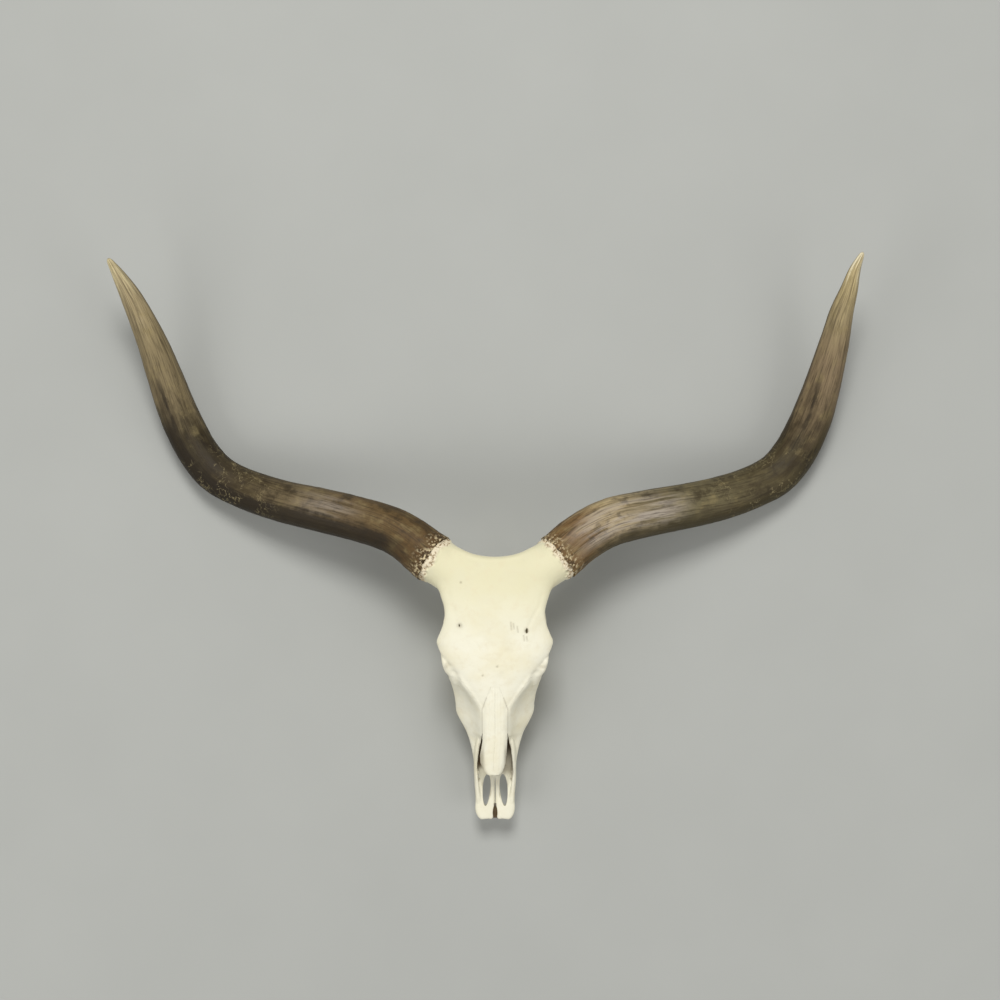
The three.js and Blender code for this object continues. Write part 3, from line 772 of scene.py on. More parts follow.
def suture_regions():
    """The region of each bone, grown by a distance, as the solids have them but with wavy walls."""
    def across(outline, tooth=0.0):
        return block("x", outline, -ASIDE, ASIDE, tooth)

    def upright(outline, tooth=0.0):
        return block("z", mirrored(outline), UNDER, OVER, tooth)

    def below_nose(stations, depth):
        line = [(y, dorsal(y) - depth) for y in stations]
        return across(line + [(stations[-1], OVER), (stations[0], OVER)])

    def nasals(g):
        *edge, (tip, y_tip) = [(half + g, y) for y, half in NASAL_PAIR if y > -320]
        plan = upright([(25, -500), (25, -350), (23, -328), *edge, (tip, y_tip + g)])
        shell = below_nose((-400, -385, -370, -340, -310, -280, -240, -200), 14 + g)
        return combined(shell, plan, "INTERSECT")

    def brow(g):
        plan = upright([
            (10, -290), (23 + g, -264), (30 + g, -251), (46.5 + g, -229), (61 + g, -209), (61 + g, -100),
        ], tooth=0.9)
        return combined(below_nose((-300, -250, -100), 24 + g), plan, "INTERSECT")

    def snout(g):
        shell = across([
            (AHEAD, UNDER), (-126 + g, UNDER), (-126 + g, 94 + g), (-208 + g, 98 + g), (-209 + g, OVER),
            (AHEAD, OVER),
        ], tooth=0.7)
        return combined(shell, brow(-g), "DIFFERENCE")

    def cheekbone(side):
        def made(g):
            low, high = sorted((side * (68 - g), side * 140))
            return block("x", [
                (-214 - g, 82 - g), (-232 - g, 104), (-220 - g, 128), (-206 - g, 137 + g), (-60, 137 + g),
                (-60, 82 - g),
            ], low, high, tooth=0.6)
        return made

    return {
        "nasals": nasals,
        "vomer": lambda g: block("x", [
            (-395, 54.5 - g), (-300, 54.5 - g), (-248 + g, 56 - g), (-248 + g, 92), (-330, 85), (-395, 72),
        ], -7 - g, 7 + g),
        "premaxillae": lambda g: across([
            (AHEAD, 0), (-388 + g, 0), (-388 + g, 48), (-316 + g, 112), (-316 + g, OVER), (AHEAD, OVER),
        ], tooth=0.6),
        "cheek_right": cheekbone(-1),
        "cheek_left": cheekbone(1),
        "face": snout,
        "occipital": lambda g: block("y", [
            (158 + g, -60), (158 + g, 60), (132, 82 + g), (112, 104 + g), (-20, 104 + g), (-20, -104 - g),
            (112, -104 - g), (132, -82 - g),
        ], -58 - g, 100),
    }


def half_space(side, g):
    low, high = sorted((side * g, side * ASIDE))
    front, back = -700, 300
    return block("z", [(low, front), (high, front), (high, back), (low, back)], UNDER, OVER)


def well(x, y, half_x, half_y, lean=0, foot=22):
    """An upright hole, egg-shaped in plan with its sharper end towards the muzzle."""
    depth, egg_share = 60, 0.16
    bm = bmesh.new()
    bmesh.ops.create_cone(bm, cap_ends=True, segments=56, radius1=1, radius2=1, depth=depth)
    for v in bm.verts:
        v.co.x *= half_x * (1 + egg_share * v.co.y)
        v.co.y *= half_y
    bmesh.ops.rotate(bm, matrix=Matrix.Rotation(math.radians(lean), 3, "Z"), verts=bm.verts)
    bmesh.ops.translate(bm, vec=(x, y, foot + depth / 2), verts=bm.verts)
    bmesh.ops.recalc_face_normals(bm, faces=bm.faces)
    return mesh_object("well", bm)


def narrow_holes():
    """Slits beside the nasal bones, slots and notch of the muzzle, and nerve holes of the cheek and brow."""
    holes = []
    for _, side in SIDES:
        slit = [
            (21.7, -309), (22.3, -309), (25.6, -330), (28.1, -343), (30.2, -358), (30.6, -384), (21.6, -384),
            (22.4, -350), (22.1, -330),
        ]
        holes += [
            block("z", [(side * x, y) for x, y in slit], 66, 190),
            well(side * 15.4, SLOT_Y, 6.9, SLOT_HALF, lean=side * 4),
            limb([(62, -316, 60, 5, 7), (51, -294, 61, 4.4, 6.4), (46, -270, 64, 3, 3)], side),
        ]
    holes += [
        well(0, -459, 4.3, -12, foot=NOTCH_FLOOR), well(0, -425, 0.9, 27),
        well(0, -470, 1.5, 9, foot=NOTCH_FLOOR),
    ]
    for (x, y), radius in zip(BROW_HOLES, (1.2, 2.3)):
        holes.append(limb([
            (abs(x) + 4, y + 6, 214, radius, 1.6 * radius), (abs(x), y, 193, radius, 1.9 * radius),
            (abs(x) - 6, y - 9, 176, 1.5, 2),
        ], math.copysign(1, x), up=(0, 1, 0)))
    return holes


def trim_for_horns(obj, gap):
    for name, _ in SIDES:
        base, axis = horn_plane(name)
        bm = bmesh.new()
        bm.from_mesh(obj.data)
        cut = bmesh.ops.bisect_plane(
            bm, geom=bm.verts[:] + bm.edges[:] + bm.faces[:], plane_co=base - axis * gap, plane_no=axis,
            clear_outer=True,
        )
        bmesh.ops.holes_fill(bm, edges=[g for g in cut["geom_cut"] if isinstance(g, bmesh.types.BMEdge)])
        bm.to_mesh(obj.data)
        bm.free()


def shape_nasal_tip(obj, side):
    """Leans the front of a nasal bone to one side of the skull and flares its lower edge."""
    lean, spread = 2.4, 4.0 if side < 0 else 1.6
    co = positions(obj.data)
    below, aside, ahead = below_dorsal(co), np.abs(co[:, 0]), -co[:, 1]
    flare = smoothstep(below, 5, 11) * smoothstep(aside, 9, 19) * (1 - smoothstep(ahead, 362, 382))
    flare *= smoothstep(ahead, 310, 366) * spread
    co[:, 0] += side * flare - lean * smoothstep(ahead, 317, 356)
    set_positions(obj.data, co)


def bones(voxel, gap):
    """Models the bones as one body, sculpts its surface and parts it along the sutures."""
    forms = [forehead(), braincase(), face(), nasal_plate(), *occiput()]
    for name, side in SIDES:
        forms += [pedicle(name, side), *orbit_wall(side)]
    head = fused([*forms, poll_ridge()], voxel)
    hollows = nasal_cavity() + [orbit_hollow(side) for _, side in SIDES] + [limb([
        (0, 0, 82, 18, 15), (0, -44, 84, 19, 16), (0, -70, 100, 26, 22), (0, -104, 112, 22, 20),
    ])]
    head = combined(head, fused(hollows, 2.0), "DIFFERENCE")
    forms = [head, vomer(), *muzzle()]
    for _, side in SIDES:
        forms += [*cheek(side), palatine_walls(side), turbinate(side)]
    rest = fused(forms, voxel)
    modified(rest, "SMOOTH", factor=0.5, iterations=3)
    soften(rest, junctions(positions(rest.data)), 90)
    co, normal = positions(rest.data), positions(rest.data, "normal")
    set_positions(rest.data, co + normal * relief(co, normal)[:, None])
    for hole in narrow_holes():
        combined(rest, hole, "DIFFERENCE")
    trim_for_horns(rest, gap)

    parts = {}
    regions = suture_regions()

    def part_off(key):
        piece = combined(copy_of(rest), regions[key](-gap / 2), "INTERSECT")
        combined(rest, regions[key](gap / 2), "DIFFERENCE")
        return piece

    def split(name, whole):
        for word, side in SIDES:
            parts[f"{name}_{word}"] = combined(copy_of(whole), half_space(side, gap / 2), "INTERSECT")
        discard(whole)

    split("nasal", part_off("nasals"))
    parts["vomer"] = part_off("vomer")
    split("premaxilla", part_off("premaxillae"))
    for word, _ in SIDES:
        parts[f"zygomatic_{word}"] = part_off(f"cheek_{word}")
    split("maxilla", part_off("face"))
    for word, side in SIDES:
        for row in CHEEK_TEETH:
            combined(parts[f"maxilla_{word}"], tooth(row, side), "UNION")
    parts["occipital"] = part_off("occipital")
    parts["cranium"] = rest
    for word, side in SIDES:
        shape_nasal_tip(parts[f"nasal_{word}"], side)
    return {name: keep_largest(obj) for name, obj in parts.items()}


def horn_object(name, around):
    """A horn as a sleeve along its axis, with fibres, growth rings, knocks and a ragged edge at its base."""
    stations = HORNS[name]
    left = name == "left"
    rings, face_rings = 4 * around, 8  # the first few rings lie on the face that meets the skull
    tip_round, floor_gap = 7.0, 0.1
    path = Path([s[:3] for s in stations])
    radii = [(i / (len(stations) - 1), s[3]) for i, s in enumerate(stations)]
    steps = 2000
    ts = np.linspace(0, 1, steps)
    points = np.array([path.point(t) for t in ts])
    along = np.concatenate([[0], np.cumsum(np.linalg.norm(np.diff(points, axis=0), axis=1))])
    total = along[-1]
    ahead = np.gradient(points, axis=0)
    ahead /= np.linalg.norm(ahead, axis=1)[:, None]
    risen = np.empty_like(points)
    up = np.array([0.0, 0.0, 1.0])
    for k in range(steps):
        up = up - ahead[k] * (up @ ahead[k])
        up /= np.linalg.norm(up)
        risen[k] = up
    sideways = np.cross(ahead, risen)
    width = np.array([sample(radii, t)[0] for t in ts])

    bm = bmesh.new()
    bmesh.ops.create_uvsphere(bm, u_segments=around, v_segments=rings, radius=1.0)
    unit = np.array([v.co for v in bm.verts])
    angle = np.arctan2(unit[:, 1], unit[:, 0])
    row = np.rint(np.arccos(np.clip(unit[:, 2], -1, 1)) / math.pi * rings)
    on_face = row < face_rings
    s = np.clip((row - face_rings) / (rings - face_rings), 0, 1) * total
    at = np.interp(s, along, np.arange(steps))
    low = np.clip(at.astype(int), 0, steps - 2)
    f = (at - low)[:, None]

    def mixed(values):
        return values[low] * (1 - f) + values[low + 1] * f

    centre, forward, rise, side = (mixed(v) for v in (points, ahead, risen, sideways))
    radius = np.interp(at, np.arange(steps), width)
    left_over = np.clip((total - s) / tip_round, 0, 1)
    radius = radius * np.sqrt(np.clip(1 - (1 - left_over) ** 2, 0, 1))
    turn = angle + 0.7 * s / total
    ring_point = np.stack([np.cos(turn), np.sin(turn), s / 900], axis=1)
    fibre = layered_noise(ring_point * (1, 1, 0.6), 0.14, 61 + left, 3)
    growth = value_noise(ring_point * (0.35, 0.35, 36), 0.4, 71 + left)
    base_share = np.exp(-s / 70)
    taper = np.clip(radius / 30, 0, 1)
    outward = side * np.cos(angle)[:, None] + rise * np.sin(angle)[:, None]
    place = centre + outward * radius[:, None]
    knocks = np.clip(value_noise(place, 16, 97 + left), 0.25, 1) - 0.25
    out = taper * (0.42 * fibre + (0.16 + 0.5 * base_share) * growth + 0.3 * layered_noise(place, 30, 91, 2))
    knocked = smoothstep(s, 0.4 * total, 0.52 * total) * (1 - smoothstep(s, 0.7 * total, 0.85 * total))
    out -= 0.8 * knocks * taper * knocked
    out += 1.2 * np.exp(-s / 14)
    ragged = 3.2 * np.exp(-s / 9) * layered_noise(ring_point * (1, 1, 0), 0.2, 83 + left, 2)
    radius = radius + out
    radius[on_face] = (radius * (row / face_rings))[on_face]
    ragged = np.where(on_face, ragged * row / face_rings, ragged)
    place = centre + outward * radius[:, None] + forward * (ragged - 0.9)[:, None]
    place[:, 2] = np.maximum(place[:, 2], floor_gap)
    for v, co in zip(bm.verts, place):
        v.co = co
    bmesh.ops.recalc_face_normals(bm, faces=bm.faces)
    obj = mesh_object(f"horn_sheath_{name}", bm)
    store(obj, "grain", np.stack([np.cos(turn), np.sin(turn), s / 1000], axis=1))
    store(obj, "reach", s / total)
    store(obj, "upward", np.sin(angle))
    # the side that faces the muzzle, away from the window light, where the horn material lays painted shade
    # mixed with wear
    store(obj, "lee", np.cos(angle) * (1 if left else -1))
    return obj


def store(obj, name, values):
    """Keeps a number or a vector for each point, for the materials to read."""
    values = np.ascontiguousarray(values, np.float32)
    kind, key = ("FLOAT_VECTOR", "vector") if values.ndim == 2 else ("FLOAT", "value")
    attribute = obj.data.attributes.new(name, kind, "POINT")
    attribute.data.foreach_set(key, values.ravel())


# Materials


def empty_material(name):
    material = bpy.data.materials.new(name)
    material.use_nodes = True
    material.node_tree.nodes.clear()
    return material, material.node_tree


def add(tree, kind, inputs=None, output=0, stops=(), **settings):
    """Adds a shader node with its settings and colour stops, fills its inputs and gives one output."""
    node = tree.nodes.new(kind)
    for key, value in settings.items():
        setattr(node, key, value)
    for key, value in (inputs or {}).items():
        if isinstance(value, bpy.types.NodeSocket):
            tree.links.new(value, node.inputs[key])
        else:
            node.inputs[key].default_value = value
    for i, (position, colour) in enumerate(stops):
        elements = node.color_ramp.elements
        element = elements[i] if i < len(elements) else elements.new(position)
        element.position = position
        element.color = colour
    return node.outputs[output] if node.outputs else node


def clouds(tree, size_mm, detail=3.0, roughness=0.55):
    """Noise through the piece, with blotches of a real size."""
    place = add(tree, "ShaderNodeTexCoord", output="Object")
    return add(tree, "ShaderNodeTexNoise", {
        "Vector": place, "Scale": 1000 / size_mm, "Detail": detail, "Roughness": roughness,
    })


def weighted(tree, total, *terms):
    """Adds patterns to a number, each times its weight."""
    for pattern, weight in terms:
        total = add(tree, "ShaderNodeMath", {0: pattern, 1: weight, 2: total}, operation="MULTIPLY_ADD")
    return total


def product(tree, factors):
    total = 1.0
    for factor in factors:
        total = add(tree, "ShaderNodeMath", {0: total, 1: factor}, operation="MULTIPLY")
    return total


def slopes(tree, value, *ranges):
    """Rises smoothly from 0 to 1 from one end of each range to the other, all multiplied."""
    return product(tree, [
        add(tree, "ShaderNodeMapRange", {"Value": value, "From Min": start, "From Max": end},
            interpolation_type="SMOOTHSTEP")
        for start, end in ranges
    ])


def coated(tree, colour, *coats):
    """Lays colours over one another, each as strongly as the product of its masks.

    A coat is an sRGB hex and masks: numbers, outputs, or an output with (its value, strength) stops.
    """
    for hex_colour, *masks in coats:
        for i, mask in enumerate(masks):
            if isinstance(mask, tuple):
                stops = [(at, (strength, strength, strength, 1.0)) for at, strength in mask[1:]]
                masks[i] = add(tree, "ShaderNodeValToRGB", {"Fac": mask[0]}, stops=stops)
        mixed = {0: product(tree, masks), 6: colour, 7: linear(hex_colour)}
        colour = add(tree, "ShaderNodeMix", mixed, 2, data_type="RGBA", clamp_factor=True)
    return colour


def finish(tree, colour, roughness, specular, **more):
    """Ends a material in one shader of a given colour, roughness and gloss."""
    shader = add(tree, "ShaderNodeBsdfPrincipled", {
        "Base Color": colour, "Roughness": roughness, "Specular IOR Level": specular, **more,
    })
    add(tree, "ShaderNodeOutputMaterial", {"Surface": shader})


def cattle_bone(settings):
    """Dry compact bone, boiled and whitened: chalky ivory, matt, with fine pores, yellow grease, dirt and
    painted shade.
    """
    material, tree = empty_material("dry_whitened_bone")
    grease, shade, spongy, dirt_and_painted_shade, enamel = (
        add(tree, "ShaderNodeAttribute", output="Fac", attribute_name=mask)
        for mask in ("grease", "shade", "spongy", "dirt_and_painted_shade", "enamel")
    )
    patches = clouds(tree, 14, 4.0)
    colour = coated(
        tree, linear(settings.bone_hex),
        ("EAE3C6", (clouds(tree, 60), (0.42, 0), (0.7, 1))),
        # old grease, which yellows the bone towards the poll
        ("D8D2AE", grease, 0.9),
        ("DACDAC", (patches, (0.52, 0), (0.8, 0.4))),
        # painted shade on the sides and underside, with random patches, and darker towards the front of the
        # muzzle
        ("DAD5BD", shade),
        ("E2D6BA", spongy),
        ("846A44", spongy, (clouds(tree, 5.5, 4.0), (0.5, 0), (0.61, 0.85))),
        # dirt and dark sutures, with painted shade in holes, slots, grooves and the nasal cavity and on the
        # nasal bones' edges
        ("5E4D33", dirt_and_painted_shade),
        ("D9CBA2", enamel),
        ("6B5433", enamel, (clouds(tree, 7), (0.5, 0), (0.7, 1))),
    )
    # pores, drawn coarser than the real ones of a few tenths of a millimetre, which are too fine to show
    place = add(tree, "ShaderNodeTexCoord", output="Object")
    pores = add(tree, "ShaderNodeTexVoronoi", {"Vector": place, "Scale": 1000 / 1.9}, feature="F1")
    pits = add(tree, "ShaderNodeValToRGB", {"Fac": pores}, stops=((0, (0, 0, 0, 1)), (0.22, (1, 1, 1, 1))))
    height = weighted(tree, 0.0, (pits, 0.25), (clouds(tree, 1.6), 0.8), (clouds(tree, 6), 1.2))
    bump = add(tree, "ShaderNodeBump", {"Height": height, "Strength": 0.3, "Distance": 0.5 * MM})
    finish(tree, colour, weighted(tree, 0.55, (patches, 0.2), (enamel, -0.25)), 0.25, Normal=bump, IOR=1.52)
    return material


# Colours along each horn, from its base to its tip: (share of its length, sRGB hex).
HORN_TONES = {
    "left": (
        (0.0, "6E5431"), (0.05, "785D39"), (0.11, "B5A179"), (0.2, "8E8164"), (0.28, "696045"),
        (0.38, "5A5138"), (0.48, "494029"), (0.57, "403722"), (0.65, "66573F"), (0.76, "816F54"),
        (0.88, "988865"), (0.95, "B8A679"), (1.0, "F0E4C0"),
    ),
    "right": (
        (0.0, "594326"), (0.08, "604C2D"), (0.18, "665438"), (0.3, "6A5C42"), (0.4, "483D27"),
        (0.5, "30281A"), (0.6, "3C3420"), (0.7, "75674B"), (0.82, "8C7D5C"), (0.93, "A59572"),
        (1.0, "DCCDA0"),
    ),
}
# Each horn's dark band of wear mixed with painted shade, on the side away from the window light: where round
# its lower side it starts and is full, and its sRGB hex.
WORN_AND_SHADED_SIDE = {"left": (0.35, 0.9, "3A321C"), "right": (0.12, 0.42, "231B0E")}
# The painted grey highlight along each horn's top: where it starts and ends along the horn, and how strong it
# is.
PAINTED_HIGHLIGHT = {"left": (0.05, 0.26, 0.85), "right": (0.18, 0.28, 0.4)}


def horn_keratin(name):
    """Horn, a keratin that grew outwards in fibres: mottled, streaked along, dark where worn, pale tipped,
    with painted shade and highlight.
    """
    material, tree = empty_material(f"fibrous_horn_{name}")
    grain, reach, upward, lee = (
        add(tree, "ShaderNodeAttribute", output=kind, attribute_name=key)
        for key, kind in (("grain", "Vector"), ("reach", "Fac"), ("upward", "Fac"), ("lee", "Fac"))
    )

    def streaks(across, along_mm, detail, roughness=0.6):
        stretch = {"Vector": grain, "Scale": (across, across, 1000 / along_mm)}
        return add(tree, "ShaderNodeTexNoise", {
            "Vector": add(tree, "ShaderNodeMapping", stretch), "Scale": 1.0, "Detail": detail,
            "Roughness": roughness, "Distortion": 0.4,
        })

    def within(low, high, soft=0.05):
        """1 between two shares of the horn's length, with soft ends."""
        return slopes(tree, reach, (low - soft, low + soft), (high + soft, high - soft))

    # bundles of fibres, drawn millimetres wide because single fibres are too fine to show
    flames, wide, fine = streaks(2.4, 90, 5.0, 0.65), streaks(3.4, 120, 4.0), streaks(15, 40, 3.0)
    blotches = clouds(tree, 24, 6.0, 0.6)
    highlight_start, highlight_end, highlight_strength = PAINTED_HIGHLIGHT[name]
    wear_and_shade_start, wear_and_shade_full, wear_and_shade_hex = WORN_AND_SHADED_SIDE[name]
    wear_and_shade = weighted(tree, -0.7, (lee, 1.0), (wide, 0.9), (clouds(tree, 12, 4.0), 0.5))
    tones = [(share, linear(hex_colour)) for share, hex_colour in HORN_TONES[name]]
    wander = weighted(tree, -0.11, (reach, 1.0), (flames, 0.22))
    colour = coated(
        tree, add(tree, "ShaderNodeValToRGB", {"Fac": wander}, stops=tones),
        # blotches, dark ones on the lower part and light ones but for the bend
        ("2E2514", (blotches, (0.36, 0.65), (0.48, 0)), slopes(tree, reach, (0.78, 0.56))),
        ("94845A", (blotches, (0.53, 0), (0.7, 0.45)), weighted(tree, 1.0, (within(0.4, 0.58), -0.7))),
        # a painted grey highlight along the horn's top
        ("A2978A", slopes(tree, upward, (0.6, 0.97)), slopes(tree, wide, (0.36, 0.62)),
         within(highlight_start, highlight_end), highlight_strength),
        ("352A18", (wide, (0.34, 0.55), (0.5, 0))),
        ("291F11", (fine, (0.34, 0.55), (0.52, 0))),
        # painted shade on the flanks and underside, and a ragged dark band of wear mixed with painted shade
        # along the lower and outer side
        ("2C2515", slopes(tree, upward, (0.5, 0.0)), 0.6),
        (wear_and_shade_hex, slopes(tree, wear_and_shade, (wear_and_shade_start, wear_and_shade_full)), within(0.06, 0.66), 0.88),
        # black flames where the horn turns up after the bend
        ("241C10", (flames, (0.38, 0.85), (0.46, 0)), within(0.54, 0.72)),
        # pale curved scratches where the bend has rubbed
        ("A0926A", (clouds(tree, 13), (0.482, 0), (0.5, 1), (0.518, 0)),
         slopes(tree, clouds(tree, 34, 2.0), (0.46, 0.56)), within(0.36, 0.56), 0.7),
        # grains of spongy bone that cling to the base
        ("CDBC95", (clouds(tree, 4.8, 4.0), (0.5, 0), (0.62, 1)),
         slopes(tree, weighted(tree, reach, (blotches, 0.05)), (0.06, 0.022))),
    )
    height = weighted(tree, 0.0, (wide, 0.6), (fine, 0.8), (clouds(tree, 2.2, 4.0), 0.6))
    bump = add(tree, "ShaderNodeBump", {"Height": height, "Strength": 0.5, "Distance": 1.2 * MM})
    finish(tree, colour, weighted(tree, 0.42, (blotches, 0.3)), 0.18, Normal=bump, IOR=1.54)
    return material


def painted_board(settings):
    """Matt grey paint on a flat board: even, almost without texture, so that only the shadow shows on it."""
    material, tree = empty_material("matt_painted_board")
    colour = coated(tree, linear(settings.floor_hex), ("ADAEA9", clouds(tree, 300)))
    finish(tree, colour, 0.9, 0.1)
    return material


# Pieces


def settle(obj, name, node, material):
    """Moves a piece made in millimetres on to the frame, in its finish and in place of its node."""
    obj.name = obj.data.name = name
    obj.data.transform(Matrix.Translation(ORIGIN) @ Matrix.Scale(MM, 4))
    obj.data.shade_smooth()
    obj.data.set_sharp_from_angle(angle=math.radians(60))
    obj.data.materials.clear()
    obj.data.materials.append(material)
    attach(obj, "root")
    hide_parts(node)
    return obj


def bone_masks(obj):
    """Where the bone is soiled, spongy or enamelled, and where shade is painted on it, from each point's
    place on the skull.
    """
    co, normal = positions(obj.data), positions(obj.data, "normal")
    x, y, z = co.T
    both_sides, aside, ahead = np.abs(co), np.abs(x), -y
    brow = z > 150

    # painted shade on faces that turn sideways or down, random patches, and darker towards the front of the
    # muzzle
    down = smoothstep(-normal[:, 2], -0.5, 0.6)
    shade = 0.8 * down + 0.2 * smoothstep(layered_noise(co, 22, 131), 0.0, 0.8)
    shade += 0.4 * smoothstep(ahead, 390, 430)
    spongy = np.zeros(len(co))
    for name, side in SIDES:
        edge = -12 + 6 * value_noise(co, 12, 43)
        spongy += smoothstep(past_base(co, name), edge - 2, edge + 3) * (np.sign(x) == side)

    dirt_and_painted_shade = np.zeros(len(co))
    # painted shade in the brow's nerve holes, scratches and pits
    for (hole_x, hole_y), r, depth in zip(BROW_HOLES, (4.5, 3.4), (0.42, 0.75)):
        dirt_and_painted_shade += depth * np.exp(-((x - hole_x) ** 2 + (y - hole_y) ** 2) / r ** 2) * brow
    for start_x, start_y, length in SCRATCHES:
        scratch = [(start_x, start_y), (start_x + SCRATCH_SLANT, start_y - length)]
        dirt_and_painted_shade += 0.3 * near_line(co, scratch, 1.2) * brow
    for *centre, r in PITS:
        dirt_and_painted_shade += 0.4 * bump_at(co, centre, r) * brow
    # painted shade in the notch at the front of the muzzle, on the walls of its slots and in the grooves
    # beside them
    dirt_and_painted_shade += (aside < 5.5) * (y < -444) * (y > -475) * (z < 57) * smoothstep(z, 48.5, 50)
    slot = ((aside - 15.3) / 6.4) ** 2 + ((y - SLOT_Y) / SLOT_HALF) ** 2
    dirt_and_painted_shade += 0.55 * (slot < 1.5) * (1 - np.abs(normal[:, 2])) * (z < 60)
    groove = near_line(both_sides, [(30.8, 366), (30.6, 388), (29, 404)], 1.7)
    dirt_and_painted_shade += 0.45 * groove * (z < 67) * (z > 50)
    # painted shade on the walls of the nasal cavity, which face its axis, and on the floor far back in it
    middle = 88 + 0.09 * (y + 300)
    inward = -(x * normal[:, 0] + (z - middle) * normal[:, 2])
    depth = smoothstep(y - 12 * (x < 0), -398, -384) * (1 - 0.5 * smoothstep(ahead, 340, 366) * (x > 0))
    dirt_and_painted_shade += ((aside < 34) & (z > 50) & (y < -222)) * depth * smoothstep(inward, 0, 6)
    dirt_and_painted_shade += 0.9 * (aside < 19) * (y > -262) * (y < -212) * (z > 50) * (z < 94)
    # painted shade on the lower edges of the nasal bones; dark sutures beside them and a dark patch on each
    # orbit's rim
    flank = np.where(x < 0, smoothstep(aside, 16.5, 23), smoothstep(aside, 14, 19))
    flank *= (below_dorsal(co) < 16) * (aside < 31)
    dirt_and_painted_shade += 0.5 * flank * smoothstep(ahead, 322, 350) * (y > -387)
    dirt_and_painted_shade += 0.24 * near_line(both_sides, [(22, 312), (22.4, 266), (15, 244)], 1.1) * (z > 110)
    dirt_and_painted_shade += 0.35 * bump_at(both_sides, (82.5, 188), 11) * np.clip(value_noise(co, 5, 61) + 0.5, 0, 1)

    masks = {
        "shade": shade, "spongy": spongy, "dirt_and_painted_shade": dirt_and_painted_shade,
        "grease": smoothstep(y, -175, -20) * np.clip(normal[:, 2] + 0.4, 0, 1),
        "enamel": smoothstep(-z, -30, -24) * ((y > -300) & (y < -150) & (aside < 68)),
    }
    for name, values in masks.items():
        store(obj, name, np.clip(values, 0, 1))


class SkullSettings(bpy.types.PropertyGroup):
    """Sizes and colours that a user would change."""

    fineness: bpy.props.FloatProperty(
        name="Fineness", description="Spacing of the bones' mesh", default=0.0015, min=0.001, max=0.01,
        subtype="DISTANCE", unit="LENGTH",
    )
    suture: bpy.props.FloatProperty(
        name="Suture gap", description="Space left between two bones", default=0.00015, min=0.0001, max=0.002,
        subtype="DISTANCE", unit="LENGTH",
    )
    horn_around: bpy.props.IntProperty(
        name="Faces round a horn", description="How many faces go round a horn", default=150, min=24, max=200,
    )
    bone_hex: bpy.props.StringProperty(
        name="Bone colour", description="Colour of the clean bone, in sRGB hex", default="EFEBD6",
    )
    floor_hex: bpy.props.StringProperty(
        name="Board colour", description="Colour of the board under the skull, in sRGB hex", default="A6A7A2",
    )


class SKULL_OT_bones(bpy.types.Operator):
    """Model the bones of the skull and the cheek teeth"""

    bl_idname = "skull.bones"
    bl_label = "Bones and teeth"

    def execute(self, context):
        settings = context.scene.skull_settings
        material = cattle_bone(settings)
        parts = bones(settings.fineness / MM, settings.suture / MM)
        for name, obj in parts.items():
            bone_masks(obj)
            settle(obj, f"{name}_bone", name, material)
        return {"FINISHED"}


class SKULL_OT_horns(bpy.types.Operator):
    """Model the two horns"""

    bl_idname = "skull.horns"
    bl_label = "Horns"

    def execute(self, context):
        settings = context.scene.skull_settings
        for name, _ in SIDES:
            obj = horn_object(name, settings.horn_around)
            settle(obj, f"horn_sheath_{name}", f"horn_{name}", horn_keratin(name))
        return {"FINISHED"}


# The camera looks straight down: its place from the working origin in metres, its lens and sensor in mm.
CAMERA_PLACE, CAMERA_LENS, SENSOR_WIDTH = Vector((0.0087, 0.097, 3.0)), 59.4, 36
BOARD_HALF, WORLD_LIGHT = 4.0, 0.34
# Square lights that face the middle of the board: (name, place, width, power).
LIGHTS = (
    ("window", (-0.1, 2.6, 4.4), 1.6, 174),
    ("fill_left", (-2.4, -1.6, 2.3), 2.0, 36),
    ("fill_right", (2.4, -1.6, 2.3), 2.0, 30),
)


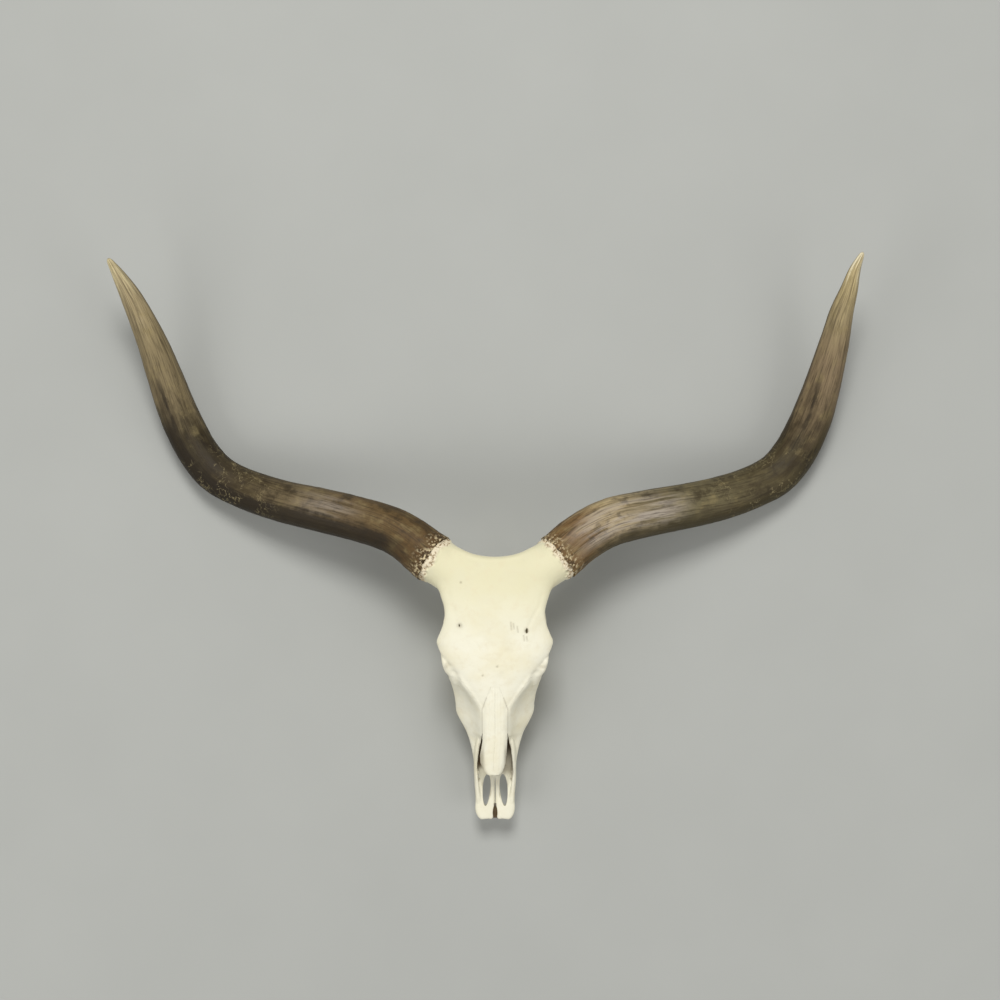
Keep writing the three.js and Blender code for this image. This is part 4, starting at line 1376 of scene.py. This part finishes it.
class SKULL_OT_stage(bpy.types.Operator):
    """Set the board, the lights and the camera"""

    bl_idname = "skull.stage"
    bl_label = "Stage"

    def execute(self, context):
        scene = context.scene
        bm = bmesh.new()
        bmesh.ops.create_grid(bm, x_segments=1, y_segments=1, size=BOARD_HALF)
        board = mesh_object("board", bm)
        board.data.materials.append(painted_board(scene.skull_settings))

        camera = bpy.data.objects.new("camera", bpy.data.cameras.new("camera"))
        camera.location = ORIGIN + CAMERA_PLACE
        camera.data.sensor_width = SENSOR_WIDTH
        camera.data.lens = CAMERA_LENS
        scene.collection.objects.link(camera)
        scene.camera = camera

        for name, place, size, power in LIGHTS:
            light = bpy.data.objects.new(name, bpy.data.lights.new(name, "AREA"))
            light.data.shape = "SQUARE"
            light.data.size = size
            light.data.energy = power
            light.location = place
            light.rotation_euler = (-Vector(place)).to_track_quat("-Z", "Y").to_euler()
            scene.collection.objects.link(light)
        world = bpy.data.worlds.new("studio")
        world.use_nodes = True
        background = world.node_tree.nodes["Background"].inputs
        background["Color"].default_value = (1.0, 1.0, 1.0, 1.0)
        background["Strength"].default_value = WORLD_LIGHT
        scene.world = world
        scene.view_settings.view_transform = "Standard"
        return {"FINISHED"}


class SKULL_PT_panel(bpy.types.Panel):
    """Lists the steps that make the skull"""

    bl_label = "Skull"
    bl_idname = "SKULL_PT_panel"
    bl_space_type = "VIEW_3D"
    bl_region_type = "UI"
    bl_category = "Skull"

    def draw(self, context):
        settings = context.scene.skull_settings
        for key in SkullSettings.__annotations__:
            self.layout.prop(settings, key)
        for operator in OPERATORS:
            self.layout.operator(operator.bl_idname)


OPERATORS = (SKULL_OT_stage, SKULL_OT_bones, SKULL_OT_horns)
CLASSES = (SkullSettings, *OPERATORS, SKULL_PT_panel)


def register():
    for cls in CLASSES:
        bpy.utils.register_class(cls)
    bpy.types.Scene.skull_settings = bpy.props.PointerProperty(type=SkullSettings)


def unregister():
    del bpy.types.Scene.skull_settings
    for cls in reversed(CLASSES):
        bpy.utils.unregister_class(cls)


def main():
    register()
    bpy.ops.skull.stage()
    bpy.ops.skull.bones()
    bpy.ops.skull.horns()


if __name__ == "__main__":
    main()
